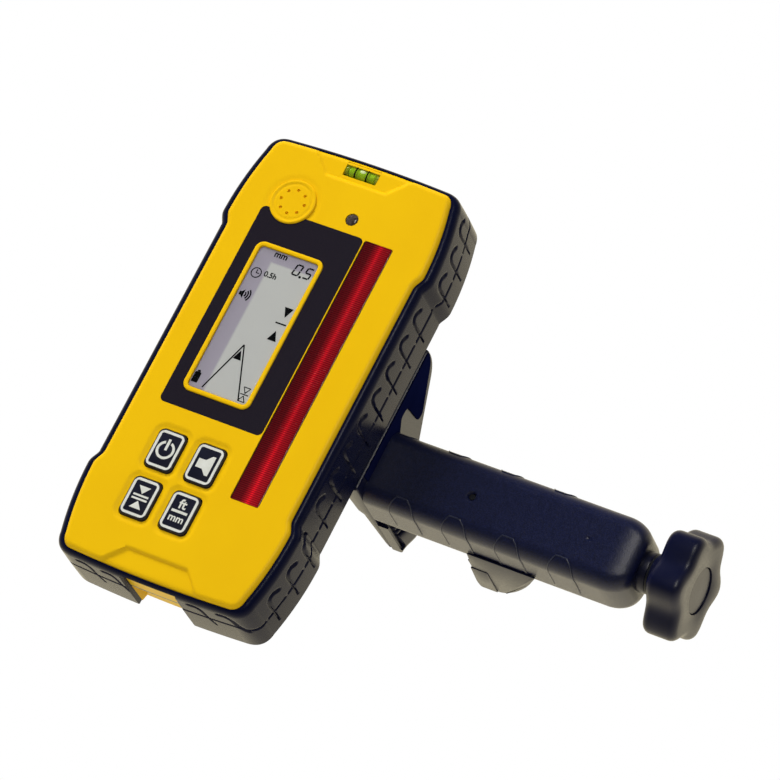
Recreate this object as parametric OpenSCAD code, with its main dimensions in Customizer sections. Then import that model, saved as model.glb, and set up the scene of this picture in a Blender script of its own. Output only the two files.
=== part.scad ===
// Laser receiver in a rubber boot, carried by a screw clamp for a levelling staff.
// Millimetres. +Z up along the receiver, +Y towards its back, +X along the clamp's handle.
// Origin: where the staff's edge sits, on the fixed jaw's grip face, on the handle's back face
// and at the height of the clamp screw.

/* [Case] */
// Length of the case between its end corners
case_len = 166.6; // [138:0.2:200]
// Rise of each end's crown above its corners
end_crown = 0.9; // [0.3:0.1:2]
// Width across the two end bulges
end_w = 79.2; // [66:0.2:94]
// Depth of the waist on each side
waist_in = 1.9; // [0.5:0.1:3]
// Length of the waist
waist_len = 96; // [84:1:104]
// Length of the slope from waist to bulge
waist_step = 2.5; // [1:0.1:5]
// Radius of the bulges' sides
bulge_r = 115; // [90:1:300]
// Rounding of the case's corners
corner_r = 5; // [3.5:0.1:8]
// Depth of the case, front face to back face
case_d = 29; // [28.4:0.1:36]
// Depth of the front shell
split_d = 14; // [12.5:0.1:15.5]
// Wall of both shells
wall = 2.2; // [1.8:0.1:2.6]
// Thickness of the seal between the shells
gasket_t = 1; // [0.6:0.1:1.6]
// Depth of the shallow recesses at both ends of the front face
recess_d = 0.8; // [0.3:0.1:1.2]
// Width of an end recess at the case's end
recess_w = 38; // [30:0.5:46]
// Width of an end recess at its inner edge
recess_in_w = 24; // [16:0.5:28]
// Length of an end recess
recess_l = 8; // [5:0.2:9]

/* [Rubber boot] */
// Thickness of the boot along the sides
boot_side_t = 3.4; // [2:0.1:5]
// Thickness of the boot at the ends
boot_end_t = 2.0; // [1.5:0.1:4]
// Set-back of the boot's front rim behind the front face
boot_front = 1.4; // [0.5:0.1:3]
// Set-back of the boot's back rim from the back face
boot_back = 1.6; // [0.5:0.1:3]
// Width of the finger notch in the bottom end
notch_w = 22; // [16:0.5:28]
// Depth of the boot's front rim that runs across the notch
notch_rim = 5.6; // [3:0.1:9]

/* [Display] */
// Width of the dark panel
panel_w = 41; // [36:0.2:49]
// Distance from the case's top to the dark panel
panel_top = 26; // [25.6:0.1:34]
// Distance from the case's bottom to the dark panel
panel_low = 60.6; // [58:0.1:68]
// Thickness of the dark panel
panel_t = 0.6; // [0.3:0.1:1]
// Panel centre to the right of the case's centre line
panel_x = -7.45; // [-8.4:0.05:-7.2]
// Width of the screen's frame
frame_w = 27; // [24:0.1:30]
// Distance from the panel's top to the screen's frame
frame_top = 12.65; // [11:0.05:16]
// Distance from the panel's bottom to the screen's frame
frame_low = 6.65; // [3:0.05:10]
// Width of the frame's band
frame_band = 1.7; // [1.2:0.1:2.2]
// Height of the frame above the front face
frame_proud = 0.5; // [0.2:0.1:1]
// Screen centre to the right of the case's centre line
screen_x = -9.3; // [-10:0.05:-9]
// Thickness of the clear lens
lens_t = 1; // [0.6:0.1:1.4]

/* [Beam window] */
// Width of the red window
window_w = 11.2; // [8:0.1:11.4]
// Distance from the case's top to the red window
window_top = 26.3; // [26:0.1:34]
// Distance from the case's bottom to the red window, lower than the screen
window_low = 36.4; // [32:0.1:46]
// Gap between the dark panel and the red window
window_gap = 0.55; // [0.4:0.05:2]
// Width of the flange behind the window
window_flange = 1.2; // [0.8:0.1:1.4]
// Number of photodiodes behind the window
diode_count = 9; // [4:1:11]

/* [Keys] */
// Width of a key
key_w = 11; // [9:0.1:12]
// Height of a key
key_h = 14.9; // [12:0.1:15.6]
// Spacing of the two key columns
key_pitch_x = 15.85; // [15:0.05:18]
// Spacing of the two key rows
key_pitch_z = 19; // [18:0.1:20]
// Centre of the key field to the right of the case's centre line
keys_x = -8.4; // [-10:0.1:-6]
// Height of the key field's centre above the case's bottom
keys_up = 34.6; // [33.4:0.1:36]
// Height of a key above the front face
key_proud = 1.3; // [1:0.1:2]
// Travel of a key
key_travel = 0.8; // [0.4:0.1:1]
// Gap round a key
key_gap = 0.3; // [0.2:0.05:0.5]

/* [Speaker, lamp and vial] */
// Radius of the raised speaker disc
speaker_r = 8.8; // [7:0.1:9.4]
// Height of the speaker disc above the front face
speaker_proud = 0.9; // [0.4:0.1:1.6]
// Speaker centre to the right of the case's centre line
speaker_x = -18.05; // [-20:0.05:-16]
// Distance of the speaker's centre from the case's top
speaker_top = 21.5; // [20.4:0.1:24]
// Number of sound holes
sound_holes = 8; // [5:1:10]
// Radius of the ring of sound holes
sound_ring_r = 4.7; // [3.5:0.1:6]
// Radius of one sound hole
sound_hole_r = 0.6; // [0.4:0.05:0.9]
// Radius of the lamp's lens
lamp_r = 2.3; // [1.5:0.1:3]
// Lamp centre to the right of the case's centre line
lamp_x = 5.35; // [3:0.05:8]
// Distance of the lamp's centre from the case's top
lamp_top = 20.6; // [18:0.1:21.2]
// Outer radius of the level vial
vial_r = 2.7; // [2.2:0.05:2.9]
// Length of the level vial
vial_l = 16; // [14:0.2:20]
// Length of the opening that shows the vial
vial_open = 12.2; // [9:0.1:13]

/* [Electronics] */
// Space between the front wall and the circuit board
stack_h = 4.4; // [4.2:0.1:4.8]
// Thickness of the circuit board
board_t = 1.6; // [1:0.1:1.8]
// Gap between the board and the case's side walls
board_side = 1; // [0.4:0.1:2]
// Distance from the case's top to the circuit board
board_top = 21.3; // [18:0.1:21.4]
// Distance from the case's bottom to the circuit board
board_low = 14.3; // [13:0.1:14.5]

/* [Battery bay] */
// Diameter of one battery cell
cell_d = 14.5; // [10.5:0.1:14.7]
// Length of one battery cell with its button
cell_l = 50.5; // [44.5:0.1:51]
// Space beside and under the cells
cell_gap = 0.4; // [0.2:0.1:0.6]
// Space for the contacts at each end of the cells
contact_space = 2; // [1.4:0.1:2.4]
// Wall of the battery bay
bay_wall = 1.4; // [1:0.1:1.6]
// Thickness of the battery door
door_t = 2.4; // [2:0.1:2.8]
// Overlap of the door on the bay's rim
door_lap = 1.2; // [0.8:0.1:1.6]
// Gap round the door
door_gap = 0.3; // [0.2:0.05:0.5]
// Radius of the door's hinge pin
hinge_pin_r = 0.9; // [0.6:0.05:1]

/* [Bracket and jaws] */
// Thickness of the bracket's plate behind the receiver
plate_t = 4.5; // [3.5:0.1:7]
// Width of the bracket's plate, from the fin to its free edge
plate_w = 66; // [60:0.5:76]
// Height of the bracket above the screw
plate_top = 42.5; // [38:0.5:48]
// Distance of the plate's lower edge below the screw
plate_low = 11; // [8:0.5:14]
// Gap between the door's hinge and the plate's lower edge
door_clear = 6.4; // [4.5:0.1:10]
// Distance from the fixed grip face to the receiver's centre line
reach = 44.7; // [43:0.1:54]
// Thickness of the fixed jaw's fin
fin_t = 5.5; // [4:0.1:7]
// Depth of the jaws behind the handle
jaw_d = 20; // [16:0.5:28]
// Height of the fin's tip above the jaw's bottom
tip_h = 10; // [6:0.5:14]
// Flat length of the fin's top behind the receiver
fin_top_l = 9; // [6:0.5:13]
// Thickness of the fixed jaw's pad
fixed_pad_t = 3.7; // [2.5:0.1:5]
// Thickness of the moving jaw's pad
moving_pad_t = 2.2; // [1.5:0.1:3]
// Gap between the two pads as shown
jaw_gap = 31; // [26:0.5:36]
// Width of the moving jaw at its tip, pad included
jaw_tip_w = 7.4; // [6:0.1:10]
// Width of the moving jaw at its root, pad included
jaw_root_w = 29; // [26:0.5:32]
// Drop of the moving jaw below the handle
jaw_drop = 1.3; // [0.6:0.1:2]
// Farthest the moving jaw closes from the shown place
jaw_close = 20; // [10:0.5:22]
// Farthest the moving jaw opens from the shown place
jaw_open = 30; // [20:0.5:30.5]

/* [Handle] */
// Length of the handle from the fin to its domed end
handle_len = 102; // [101:0.5:124]
// Height of the handle
handle_h = 28; // [26:0.2:34]
// Depth of the handle
handle_d = 25; // [24:0.2:30]
// Rounding of the handle's edges
handle_r = 6; // [3:0.1:8]
// Thickness of the soft grip
grip_t = 2.5; // [1.5:0.1:2.8]
// Wall of the channel inside the grip
core_wall = 2.5; // [2:0.1:3]
// Length of the handle's domed end
dome_l = 10; // [6:0.2:12]
// Draw-in of the dome above and below
dome_in_z = 6.5; // [3:0.1:6.6]
// Draw-in of the dome at front and back
dome_in_y = 4.5; // [2:0.1:5]
// Height of the slot that the moving jaw runs in
slot_h = 9; // [7:0.1:11]

/* [Screw and knob] */
// Radius of the clamp screw
screw_r = 4; // [3.4:0.1:4.2]
// Radius of the screw's plain tail in the fin
tail_r = 3; // [2:0.1:3.2]
// Radius of the collar at the handle's end
collar_r = 7.4; // [6.5:0.1:8]
// Length of the collar
collar_l = 3; // [2:0.1:5]
// Radius of the knob's hub
hub_r = 8; // [7:0.1:10]
// Length of the knob's hub
hub_l = 4; // [2:0.1:7]
// Radius over the knob's lobes
knob_r = 20.4; // [18:0.1:24]
// Thickness of the knob
knob_t = 13; // [10:0.1:18]
// Number of lobes
lobes = 6; // [4:1:8]
// Depth of the valleys between the lobes
lobe_depth = 3.4; // [2:0.1:6]
// Turn of the first lobe from the top, as shown
lobe_turn = 56; // [0:1:71]
// Radius of the cap in the knob's face
knob_cap_r = 8.4; // [6:0.1:9.5]

/* [Hidden] */
$fn = 48;
// Overshoot of a cut past the face that it leaves
cut = 1;
// Overlap of two shapes that are one piece
weld = 0.3;
// Clearance of a piece that is fitted and stays put
fit = 0.1;
// Clearance of a piece that slides
slide = 0.3;
// Radial clearance of a shaft that turns
run = 0.06;
// Steps along a rounded corner
round_steps = 6;
// Shortest length that is drawn
thin = 0.01;
// Facets round the sections that the dome spans
dome_fn = 32;

// Receiver: the front face is y = 0 in its own frame
front_y = -(handle_d + plate_t + case_d);
case_top = case_len / 2;
waist_w = end_w - 2 * waist_in;
gasket_y = split_d;
rear_y = split_d + gasket_t;
bulge_z = waist_len / 2 + waist_step;
bulge_steps = 8;
crown_steps = 5;
corner_lean = 0.12;
recess_edge = 0.5;
panel_r = 2;
frame_r = 3.2;
window_corner_r = 0.8;

// Places on the face, above the case's centre
panel_h = case_len - panel_top - panel_low;
panel_z = (panel_low - panel_top) / 2;
frame_h = panel_h - frame_top - frame_low;
screen_z = panel_z + (frame_low - frame_top) / 2;
window_x = panel_x + panel_w / 2 + window_gap + window_w / 2;
window_h = case_len - window_top - window_low;
window_z = (window_low - window_top) / 2;
keys_z = keys_up - case_top;
speaker_z = case_top - speaker_top;
lamp_z = case_top - lamp_top;

// Places through the receiver's depth
lens_lip = 0.5;
lens_y = panel_t / 2;
board_y = wall + stack_h;
board_back = board_y + board_t;
flange_t = 1;
key_flange_t = 1.1;
key_flange = 1;
key_seat = 0.05;
key_r = 2.2;
mat_y = wall + key_flange_t + key_travel + fit;
mat_margin = 2;
diode_t = 1.6;
diode_side = 2;
diode_w = window_w - 2 * diode_side;
diode_fill = 0.62;
baffle_wall = 1.2;

// Vial holder
vial_cover = 0.4;
vial_y = vial_cover + vial_r;
vial_z = case_top - vial_r - fit;
vial_wall = 0.7;
vial_hold = 1.3;
vial_plug_l = 1.2;
bubble_r = 1.1;
bubble_l = 4;

// Screw posts of the case and of the board
post_r = 2.9;
post_side = 0.3;
post_in_z = 9.4;
post_z = case_top - post_in_z;
post_x = bulge_x(post_z) - wall - post_r - post_side;
case_screw_r = 1.4;
case_head_r = 2.2;
case_head_h = 1.6;
case_head_in = 1.2;
board_w = 2 * (min(waist_w / 2, bulge_x(case_top - board_low)) - wall - board_side);
board_h = case_len - board_top - board_low;
board_z = (board_low - board_top) / 2;
board_post_r = 1.6;
board_screw_r = 0.9;
board_head_r = 1.5;
board_head_h = 0.8;
buzzer_in = 2.3;
buzzer_r = speaker_r - buzzer_in;
led_r = 2.4;

// Battery bay: cells side by side along Z
bay_w = 2 * cell_d + 3 * cell_gap;
bay_l = cell_l + 2 * contact_space;
bay_y = case_d - door_t - cell_d - 2 * cell_gap;
bay_z0 = -case_top + wall + bay_wall;
bay_z1 = bay_z0 + bay_l;
cell_x = (cell_d + cell_gap) / 2;
cell_y = bay_y + cell_gap + cell_d / 2;
cell_z = bay_z0 + contact_space;
button_r = 2.7;
button_h = 1.2;
contact_t = 0.4;
contact_r = 4.2;
door_w = bay_w + 2 * door_lap;
door_z0 = bay_z0 - door_lap;
knuckle_wall = 0.9;
knuckle_r = hinge_pin_r + knuckle_wall;
hinge_y = case_d - knuckle_r;
hinge_up = 0.6;
hinge_z = bay_z1 + door_lap + hinge_up;
hinge_lug = 4;
hinge_relief = 1.4;
scoop_d = 2.4;
door_seat = 0.1;

// Height of the receiver's centre above the screw, with the plate clear of the battery door
lift = -(hinge_z + door_clear + plate_low);

// Bracket fasteners, at the corners of a rectangle
bracket_dx = 17;
bracket_edge = 13.75;
bracket_dz = (plate_top + plate_low) / 2 - bracket_edge;
bracket_z = (plate_top - plate_low) / 2 - lift;
insert_r = 2.4;
insert_l = 6;
insert_boss_r = 3.8;
bracket_screw_r = 1.5;
bracket_head_r = 2.9;
bracket_head_h = 2;

// Clamp: the screw lies on the handle's own axis
axis_y = -handle_d / 2;
fin_x1 = -fixed_pad_t;
fin_x0 = fin_x1 - fin_t;
handle_low = -handle_h / 2;
plate_y = -(handle_d + plate_t);
handle_x1 = fin_x1 + handle_len;
dome_x = handle_x1 - dome_l;
core_x1 = dome_x;
core_end = 4;
core_y = -handle_d + grip_t;
core_h = handle_h - 2 * grip_t;
cavity_y0 = core_y + core_wall;
back_t = 3;
cavity_h = core_h - 2 * core_wall;
fin_slope_y = plate_y + fin_top_l;
fin_tip_z = handle_low + tip_h;
top_round = 6;
tip_round = 3;
pad_margin = 1.4;
grip_hole_r = 1.5;
grip_screw_r = 1.2;
grip_screw_in = 1;
grip_screw_x = 33.8;

// Moving jaw at the place that is shown
jaw_x0 = jaw_gap + moving_pad_t;
jaw_tip_x = jaw_gap + jaw_tip_w;
jaw_root_x = jaw_gap + jaw_root_w;
jaw_y0 = 0.5;
jaw_low = handle_low - jaw_drop;
carriage_l = 17;
carriage_x0 = jaw_x0;
carriage_x1 = carriage_x0 + carriage_l;
carriage_y1 = -back_t - slide;
carriage_y0 = cavity_y0 + slide;
carriage_h = cavity_h - 2 * slide;
neck_h = slot_h - 2 * slide;
slot_x0 = carriage_x0 - jaw_close - slide;
slot_x1 = carriage_x1 + jaw_open + slide;
nut_l = 12;
nut_wall = 2;
nut_h = 2 * (screw_r + nut_wall);
jaw_bulge = 0.62;

// Screw, collar and knob
screw_x0 = fin_x1 + fit;
tail_x0 = fin_x0 + fit;
clip_t = 1;
clip_x0 = core_x1 - core_end - clip_t - fit;
clip_w = 2;
clip_r = screw_r + clip_w;
collar_x1 = handle_x1 + collar_l;
washer_t = 0.8;
washer_x0 = collar_x1 + fit;
hub_x0 = washer_x0 + washer_t + fit;
knob_x0 = hub_x0 + hub_l;
knob_x1 = knob_x0 + knob_t;
lobe_steps = 16;
cap_t = 1.4;
cap_in = 0.6;
screw_cover = 1;
screw_x1 = knob_x1 - cap_in - cap_t - screw_cover;

// Outline with its corners rounded, one rounding length for each corner
function soften(p, r) = [
  for (i = [0:len(p) - 1])
    let (b = p[i], a = p[(i + len(p) - 1) % len(p)], c = p[(i + 1) % len(p)])
    let (s = b + r[i] * (a - b) / norm(a - b), e = b + r[i] * (c - b) / norm(c - b))
    each r[i] == 0 ? [b] : [for (k = [0:round_steps]) bend(s, b, e, k / round_steps)]
];
function bend(s, b, e, t) = (1 - t) * (1 - t) * s + 2 * t * (1 - t) * b + t * t * e;

// Half width of an end bulge at height z
function bulge_x(z) = end_w / 2 - bulge_r + sqrt(bulge_r * bulge_r - (z - bulge_z) * (z - bulge_z));

// One quarter of the case's outline, let out by dw at the sides and dl at the ends
function quarter(dw, dl) =
  let (r = max(1, corner_r + min(dw, dl)), top = case_top + dl, side_z = top - r)
  let (side_x = bulge_x(side_z) + dw, crown_x = side_x - r)
  concat(
    [[waist_w / 2 + dw, waist_len / 2]],
    [for (k = [0:bulge_steps])
      let (z = bulge_z + (side_z - bulge_z) * k / bulge_steps) [bulge_x(z) + dw, z]],
    [for (k = [1:round_steps])
      bend([side_x, side_z], [side_x - corner_lean * r, top], [crown_x, top], k / round_steps)],
    [for (k = [crown_steps - 1:-1:1])
      let (u = k / crown_steps) [u * crown_x, top + end_crown * (1 - u * u)]]);

// Whole outline of the case
function outline(dw, dl) =
  let (q = quarter(dw, dl), last = len(q) - 1)
  concat(q, [for (k = [last:-1:0]) [-q[k].x, q[k].y]],
    [for (k = [0:last]) [-q[k].x, -q[k].y]], [for (k = [last:-1:0]) [q[k].x, -q[k].y]]);

// Radius of the knob at an angle from the middle of a lobe
function knob_radius(a) = knob_r - lobe_depth * (1 - cos(lobes * a)) / 2;

// Outline of the knob in Y and Z
function knob_outline() = [
  for (k = [0:lobes * lobe_steps - 1])
    let (a = 360 * k / (lobes * lobe_steps))
    knob_radius(a) * [-sin(a + lobe_turn), cos(a + lobe_turn)]
];

// Places a shape of the receiver's own frame in the part's frame
module receiver() { translate([-reach, front_y, lift]) children(); }

// Flat shape in X and Z, given depth from y0 to y1
module slab(y0, y1) { translate([0, y1, 0]) rotate([90, 0, 0]) linear_extrude(y1 - y0) children(); }

// Flat shape in Y and Z, given length from x0 to x1
module bar(x0, x1) { translate([x0, 0, 0]) rotate([90, 0, 90]) linear_extrude(x1 - x0) children(); }

// Round rods along Y, X and Z
module rod_y(y0, y1, r) { translate([0, y1, 0]) rotate([90, 0, 0]) cylinder(h = y1 - y0, r = r); }
module rod_x(x0, x1, r) { translate([x0, 0, 0]) rotate([0, 90, 0]) cylinder(h = x1 - x0, r = r); }
module rod_z(z0, z1, r) { translate([0, 0, z0]) cylinder(h = z1 - z0, r = r); }

// Box between two corners
module block(a, b) { translate(a) cube(b - a); }

// Rectangle with round corners about the origin
module round_rect(w, h, r) {
  square([w - 2 * r, h], center = true);
  square([w, h - 2 * r], center = true);
  for (sx = [-1, 1], sz = [-1, 1]) translate([sx * (w / 2 - r), sz * (h / 2 - r)]) circle(r);
}

module at(x, z) { translate([x, 0, z]) children(); }
module four(dx, dz) { for (sx = [-1, 1], sz = [-1, 1]) at(sx * dx, sz * dz) children(); }
module at_posts() { four(post_x, post_z) children(); }
module at_board_posts() {
  at(0, board_z) four(board_w / 2 - board_post_r, board_h / 2 - board_post_r) children();
}
module at_bracket_screws() { at(0, bracket_z) four(bracket_dx, bracket_dz) children(); }
module at_keys() {
  at(keys_x, keys_z) four(key_pitch_x / 2, key_pitch_z / 2) children();
}
module on_axis() { translate([0, axis_y, 0]) children(); }

// Trapezium of the recess at the top end, widest at the case's end
module end_recess() {
  z1 = case_top + end_crown + cut;
  z0 = case_top - recess_l;
  edge_z = case_top - recess_edge;
  slab(-cut, recess_d) polygon([[-recess_w / 2, z1], [-recess_w / 2, edge_z], [-recess_in_w / 2, z0],
    [recess_in_w / 2, z0], [recess_w / 2, edge_z], [recess_w / 2, z1]]);
}

// Receiver: shells, seal and boot

module front_shell() {
  color("gold") receiver() {
    difference() {
      union() {
        difference() {
          slab(0, split_d) polygon(outline(0, 0));
          slab(wall, split_d + cut) polygon(outline(-wall, -wall));
          at(panel_x, panel_z) slab(-cut, panel_t) round_rect(panel_w + 2 * fit, panel_h + 2 * fit, panel_r);
          for (s = [0, 180]) rotate([0, s, 0]) end_recess();
        }
        at(speaker_x, speaker_z) rod_y(-speaker_proud, wall, speaker_r);
        at_posts() rod_y(wall - weld, rear_y, post_r);
        at_board_posts() rod_y(wall - weld, board_y, board_post_r);
        block([-vial_l / 2 - vial_hold, recess_d, vial_z - vial_r - vial_hold],
          [vial_l / 2 + vial_hold, vial_y + vial_r, case_top - vial_wall]);
      }
      at(screen_x, screen_z)
        slab(-cut, wall + cut) round_rect(frame_w + 2 * fit, frame_h + 2 * fit, frame_r);
      at(window_x, window_z)
        slab(-cut, wall + cut) round_rect(window_w + 2 * fit, window_h + 2 * fit, window_corner_r);
      at_keys() slab(-cut, wall + cut) round_rect(key_w + 2 * key_gap, key_h + 2 * key_gap, key_r);
      at(speaker_x, speaker_z)
        for (k = [1:sound_holes])
          rotate([0, 360 * k / sound_holes, 0]) at(sound_ring_r, 0)
            rod_y(-speaker_proud - cut, wall + cut, sound_hole_r);
      at(lamp_x, lamp_z) rod_y(-cut, wall + cut, lamp_r + fit);
      at(0, vial_z) {
        translate([0, vial_y, 0]) rod_x(-vial_l / 2 - fit, vial_l / 2 + fit, vial_r + fit);
        block([-vial_l / 2 - fit, vial_y, -vial_r - fit],
          [vial_l / 2 + fit, vial_y + vial_r + cut, vial_r + fit]);
        block([-vial_open / 2, -cut, -vial_r], [vial_open / 2, vial_y, vial_r]);
      }
      at_posts() rod_y(board_y, rear_y + cut, case_screw_r + fit);
      at_board_posts() rod_y(wall + fit, board_y + cut, board_screw_r + fit);
    }
  }
}

module rear_shell() {
  color("gold") receiver() {
    difference() {
      union() {
        difference() {
          slab(rear_y, case_d) polygon(outline(0, 0));
          slab(rear_y - cut, case_d - wall) polygon(outline(-wall, -wall));
        }
        at_posts() rod_y(rear_y, case_d - wall + weld, post_r);
        at_bracket_screws() rod_y(case_d - wall - insert_l, case_d - wall + weld, insert_boss_r);
        block([-bay_w / 2 - bay_wall, bay_y - bay_wall, bay_z0 - bay_wall],
          [bay_w / 2 + bay_wall, case_d - wall + weld, bay_z1 + bay_wall]);
        block([-door_w / 2 - hinge_lug, hinge_y - knuckle_r - bay_wall, bay_z1],
          [door_w / 2 + hinge_lug, case_d - wall + weld, hinge_z + knuckle_r + bay_wall]);
      }
      block([-bay_w / 2, bay_y, bay_z0], [bay_w / 2, case_d + cut, bay_z1]);
      block([-door_w / 2 - door_gap, case_d - door_t - door_seat, door_z0 - door_gap],
        [door_w / 2 + door_gap, case_d + cut, hinge_z]);
      translate([0, hinge_y, hinge_z]) {
        rod_x(-door_w / 2 - door_gap, door_w / 2 + door_gap, knuckle_r + slide);
        block([-door_w / 2 - door_gap, 0, -knuckle_r],
          [door_w / 2 + door_gap, knuckle_r + cut, knuckle_r + hinge_relief]);
        rod_x(-door_w / 2 - hinge_lug + bay_wall, door_w / 2 + hinge_lug - bay_wall, hinge_pin_r + run);
      }
      block([-notch_w / 2, rear_y - cut, -case_top - end_crown - cut],
        [notch_w / 2, case_d + cut, -case_top + scoop_d]);
      at_posts() {
        rod_y(rear_y - cut, case_d, case_screw_r + slide);
        rod_y(case_d - case_head_in - case_head_h, case_d + cut, case_head_r + slide);
      }
      at_bracket_screws() rod_y(case_d - wall - insert_l - cut, case_d + cut, insert_r);
    }
  }
}

module shell_gasket() {
  color("dimgray") receiver()
    difference() {
      slab(gasket_y, rear_y) polygon(outline(-fit, -fit));
      slab(gasket_y - cut, rear_y + cut) polygon(outline(-wall, -wall));
    }
}

module rubber_boot() {
  color("black") receiver()
    difference() {
      slab(boot_front, case_d - boot_back) polygon(outline(boot_side_t, boot_end_t));
      slab(boot_front - cut, case_d) polygon(outline(0, 0));
      block([-notch_w / 2, notch_rim, -case_top - end_crown - boot_end_t - cut],
        [notch_w / 2, case_d, -case_top + cut]);
    }
}

// Receiver: screen and window

module display_panel() {
  color("black") receiver()
    difference() {
      at(panel_x, panel_z) slab(0, panel_t) round_rect(panel_w, panel_h, panel_r);
      at(screen_x, screen_z)
        slab(-cut, panel_t + cut) round_rect(frame_w + 2 * fit, frame_h + 2 * fit, frame_r);
      at(speaker_x, speaker_z) rod_y(-cut, panel_t + cut, speaker_r + fit);
    }
}

module screen_frame() {
  in_w = frame_w - 2 * frame_band;
  in_h = frame_h - 2 * frame_band;
  color("gold") receiver() at(screen_x, screen_z)
    difference() {
      slab(-frame_proud, wall) round_rect(frame_w, frame_h, frame_r);
      slab(-frame_proud - cut, wall + cut) round_rect(in_w, in_h, frame_r - frame_band);
      slab(lens_y, wall + cut) round_rect(in_w + 2 * lens_lip, in_h + 2 * lens_lip, frame_r - frame_band);
    }
}

module screen_lens() {
  lens_w = frame_w - 2 * frame_band + 2 * lens_lip - 2 * fit;
  lens_h = frame_h - 2 * frame_band + 2 * lens_lip - 2 * fit;
  color("lightblue") receiver() at(screen_x, screen_z)
    slab(lens_y, lens_y + lens_t) round_rect(lens_w, lens_h, frame_r - frame_band);
}

module screen_module() {
  color("silver") receiver() at(screen_x, screen_z)
    slab(wall, board_y) square([frame_w - frame_band, frame_h - frame_band], center = true);
}

module beam_window() {
  color("darkred") receiver() at(window_x, window_z) {
    slab(0, wall + weld) round_rect(window_w, window_h, window_corner_r);
    slab(wall, wall + flange_t)
      square([window_w + 2 * window_flange, window_h + 2 * window_flange], center = true);
  }
}

module light_baffle() {
  out_w = window_w + 2 * window_flange;
  out_h = window_h + 2 * window_flange;
  color("black") receiver() at(window_x, window_z)
    difference() {
      slab(wall + flange_t, board_y) square([out_w, out_h], center = true);
      slab(wall, board_y + cut) square([out_w - 2 * baffle_wall, out_h - 2 * baffle_wall], center = true);
    }
}

module photodiodes() {
  pitch = (window_h - 2 * baffle_wall) / diode_count;
  color("dimgray") receiver() at(window_x, window_z)
    for (k = [0:diode_count - 1])
      at(0, (k - (diode_count - 1) / 2) * pitch)
        slab(board_y - diode_t, board_y) square([diode_w, diode_fill * pitch], center = true);
}

// Receiver: board, keys, speaker, lamp and vial

module main_board() {
  color("darkgreen") receiver()
    difference() {
      at(0, board_z) slab(board_y, board_back) square([board_w, board_h], center = true);
      at_board_posts() rod_y(board_y - cut, board_back + cut, board_screw_r + fit);
    }
}

module board_screws() {
  color("silver") receiver() at_board_posts() {
    rod_y(wall + 2 * fit, board_back + weld, board_screw_r);
    rod_y(board_back, board_back + board_head_h, board_head_r);
  }
}

module keypad_mat() {
  color("gray") receiver() at(keys_x, keys_z)
    slab(mat_y, board_y)
      square([key_pitch_x + key_w + 2 * mat_margin, key_pitch_z + key_h + 2 * mat_margin], center = true);
}

// One key; column and row are -1 or 1
module key(column, row) {
  color("black") receiver() at(keys_x + column * key_pitch_x / 2, keys_z + row * key_pitch_z / 2) {
    slab(-key_proud, wall + key_flange_t) round_rect(key_w, key_h, key_r);
    slab(wall + key_seat, wall + key_flange_t)
      round_rect(key_w + 2 * key_flange, key_h + 2 * key_flange, key_r);
  }
}
module key_power() { key(-1, 1); }
module key_volume() { key(1, 1); }
module key_precision() { key(-1, -1); }
module key_units() { key(1, -1); }

module buzzer() {
  color("black") receiver() at(speaker_x, speaker_z) rod_y(wall, board_y, buzzer_r);
}

module lamp_lens() {
  color("dimgray") receiver() at(lamp_x, lamp_z) {
    rod_y(-frame_proud, wall + weld, lamp_r);
    rod_y(wall, wall + flange_t, lamp_r + key_flange);
  }
}

module lamp_led() {
  color("white") receiver() at(lamp_x, lamp_z) rod_y(wall + flange_t + fit, board_y, led_r);
}

module vial_tube() {
  color("lightgreen") receiver() translate([0, vial_y, vial_z])
    difference() {
      rod_x(-vial_l / 2, vial_l / 2, vial_r);
      rod_x(-vial_l / 2 - cut, vial_l / 2 + cut, vial_r - vial_wall);
    }
}

module vial_plugs() {
  color("green") receiver() translate([0, vial_y, vial_z])
    for (s = [0, 180]) rotate([0, s, 0])
      rod_x(vial_l / 2 - vial_plug_l, vial_l / 2, vial_r - vial_wall);
}

module vial_fluid() {
  fluid_r = vial_r - vial_wall;
  color("yellowgreen") receiver() translate([0, vial_y, vial_z])
    difference() {
      rod_x(-vial_l / 2 + vial_plug_l, vial_l / 2 - vial_plug_l, fluid_r);
      translate([0, 0, fluid_r]) rod_x(-bubble_l / 2, bubble_l / 2, bubble_r);
    }
}

// Receiver: battery bay and fasteners

module battery_cells() {
  color("slategray") receiver()
    for (s = [-1, 1]) translate([s * cell_x, cell_y, cell_z + cell_l / 2]) rotate([0, s < 0 ? 0 : 180, 0]) {
      rod_z(-cell_l / 2, cell_l / 2 - button_h, cell_d / 2);
      rod_z(cell_l / 2 - button_h - weld, cell_l / 2, button_r);
    }
}

module battery_contacts() {
  color("silver") receiver()
    for (s = [-1, 1], e = [0, 1]) {
      z = e == 0 ? bay_z0 : bay_z1 - contact_space;
      plate_z = e == 0 ? bay_z0 : bay_z1 - contact_t;
      translate([s * cell_x, cell_y, 0]) {
        rod_z(z, z + contact_space, contact_r);
        block([-contact_r, -contact_r, plate_z], [contact_r, contact_r, plate_z + contact_t]);
      }
    }
}

module battery_door() {
  color("gold") receiver()
    difference() {
      union() {
        block([-door_w / 2, case_d - door_t, door_z0], [door_w / 2, case_d, hinge_z]);
        translate([0, hinge_y, hinge_z]) rod_x(-door_w / 2, door_w / 2, knuckle_r);
      }
      translate([0, hinge_y, hinge_z]) rod_x(-door_w / 2 - cut, door_w / 2 + cut, hinge_pin_r + run);
    }
}

module door_pin() {
  color("silver") receiver() translate([0, hinge_y, hinge_z])
    rod_x(-door_w / 2 - hinge_lug + bay_wall + fit, door_w / 2 + hinge_lug - bay_wall - fit, hinge_pin_r);
}

module case_screws() {
  color("silver") receiver() at_posts() {
    rod_y(board_y + fit, case_d - case_head_in - weld, case_screw_r);
    rod_y(case_d - case_head_in - case_head_h, case_d - case_head_in, case_head_r);
  }
}

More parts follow.
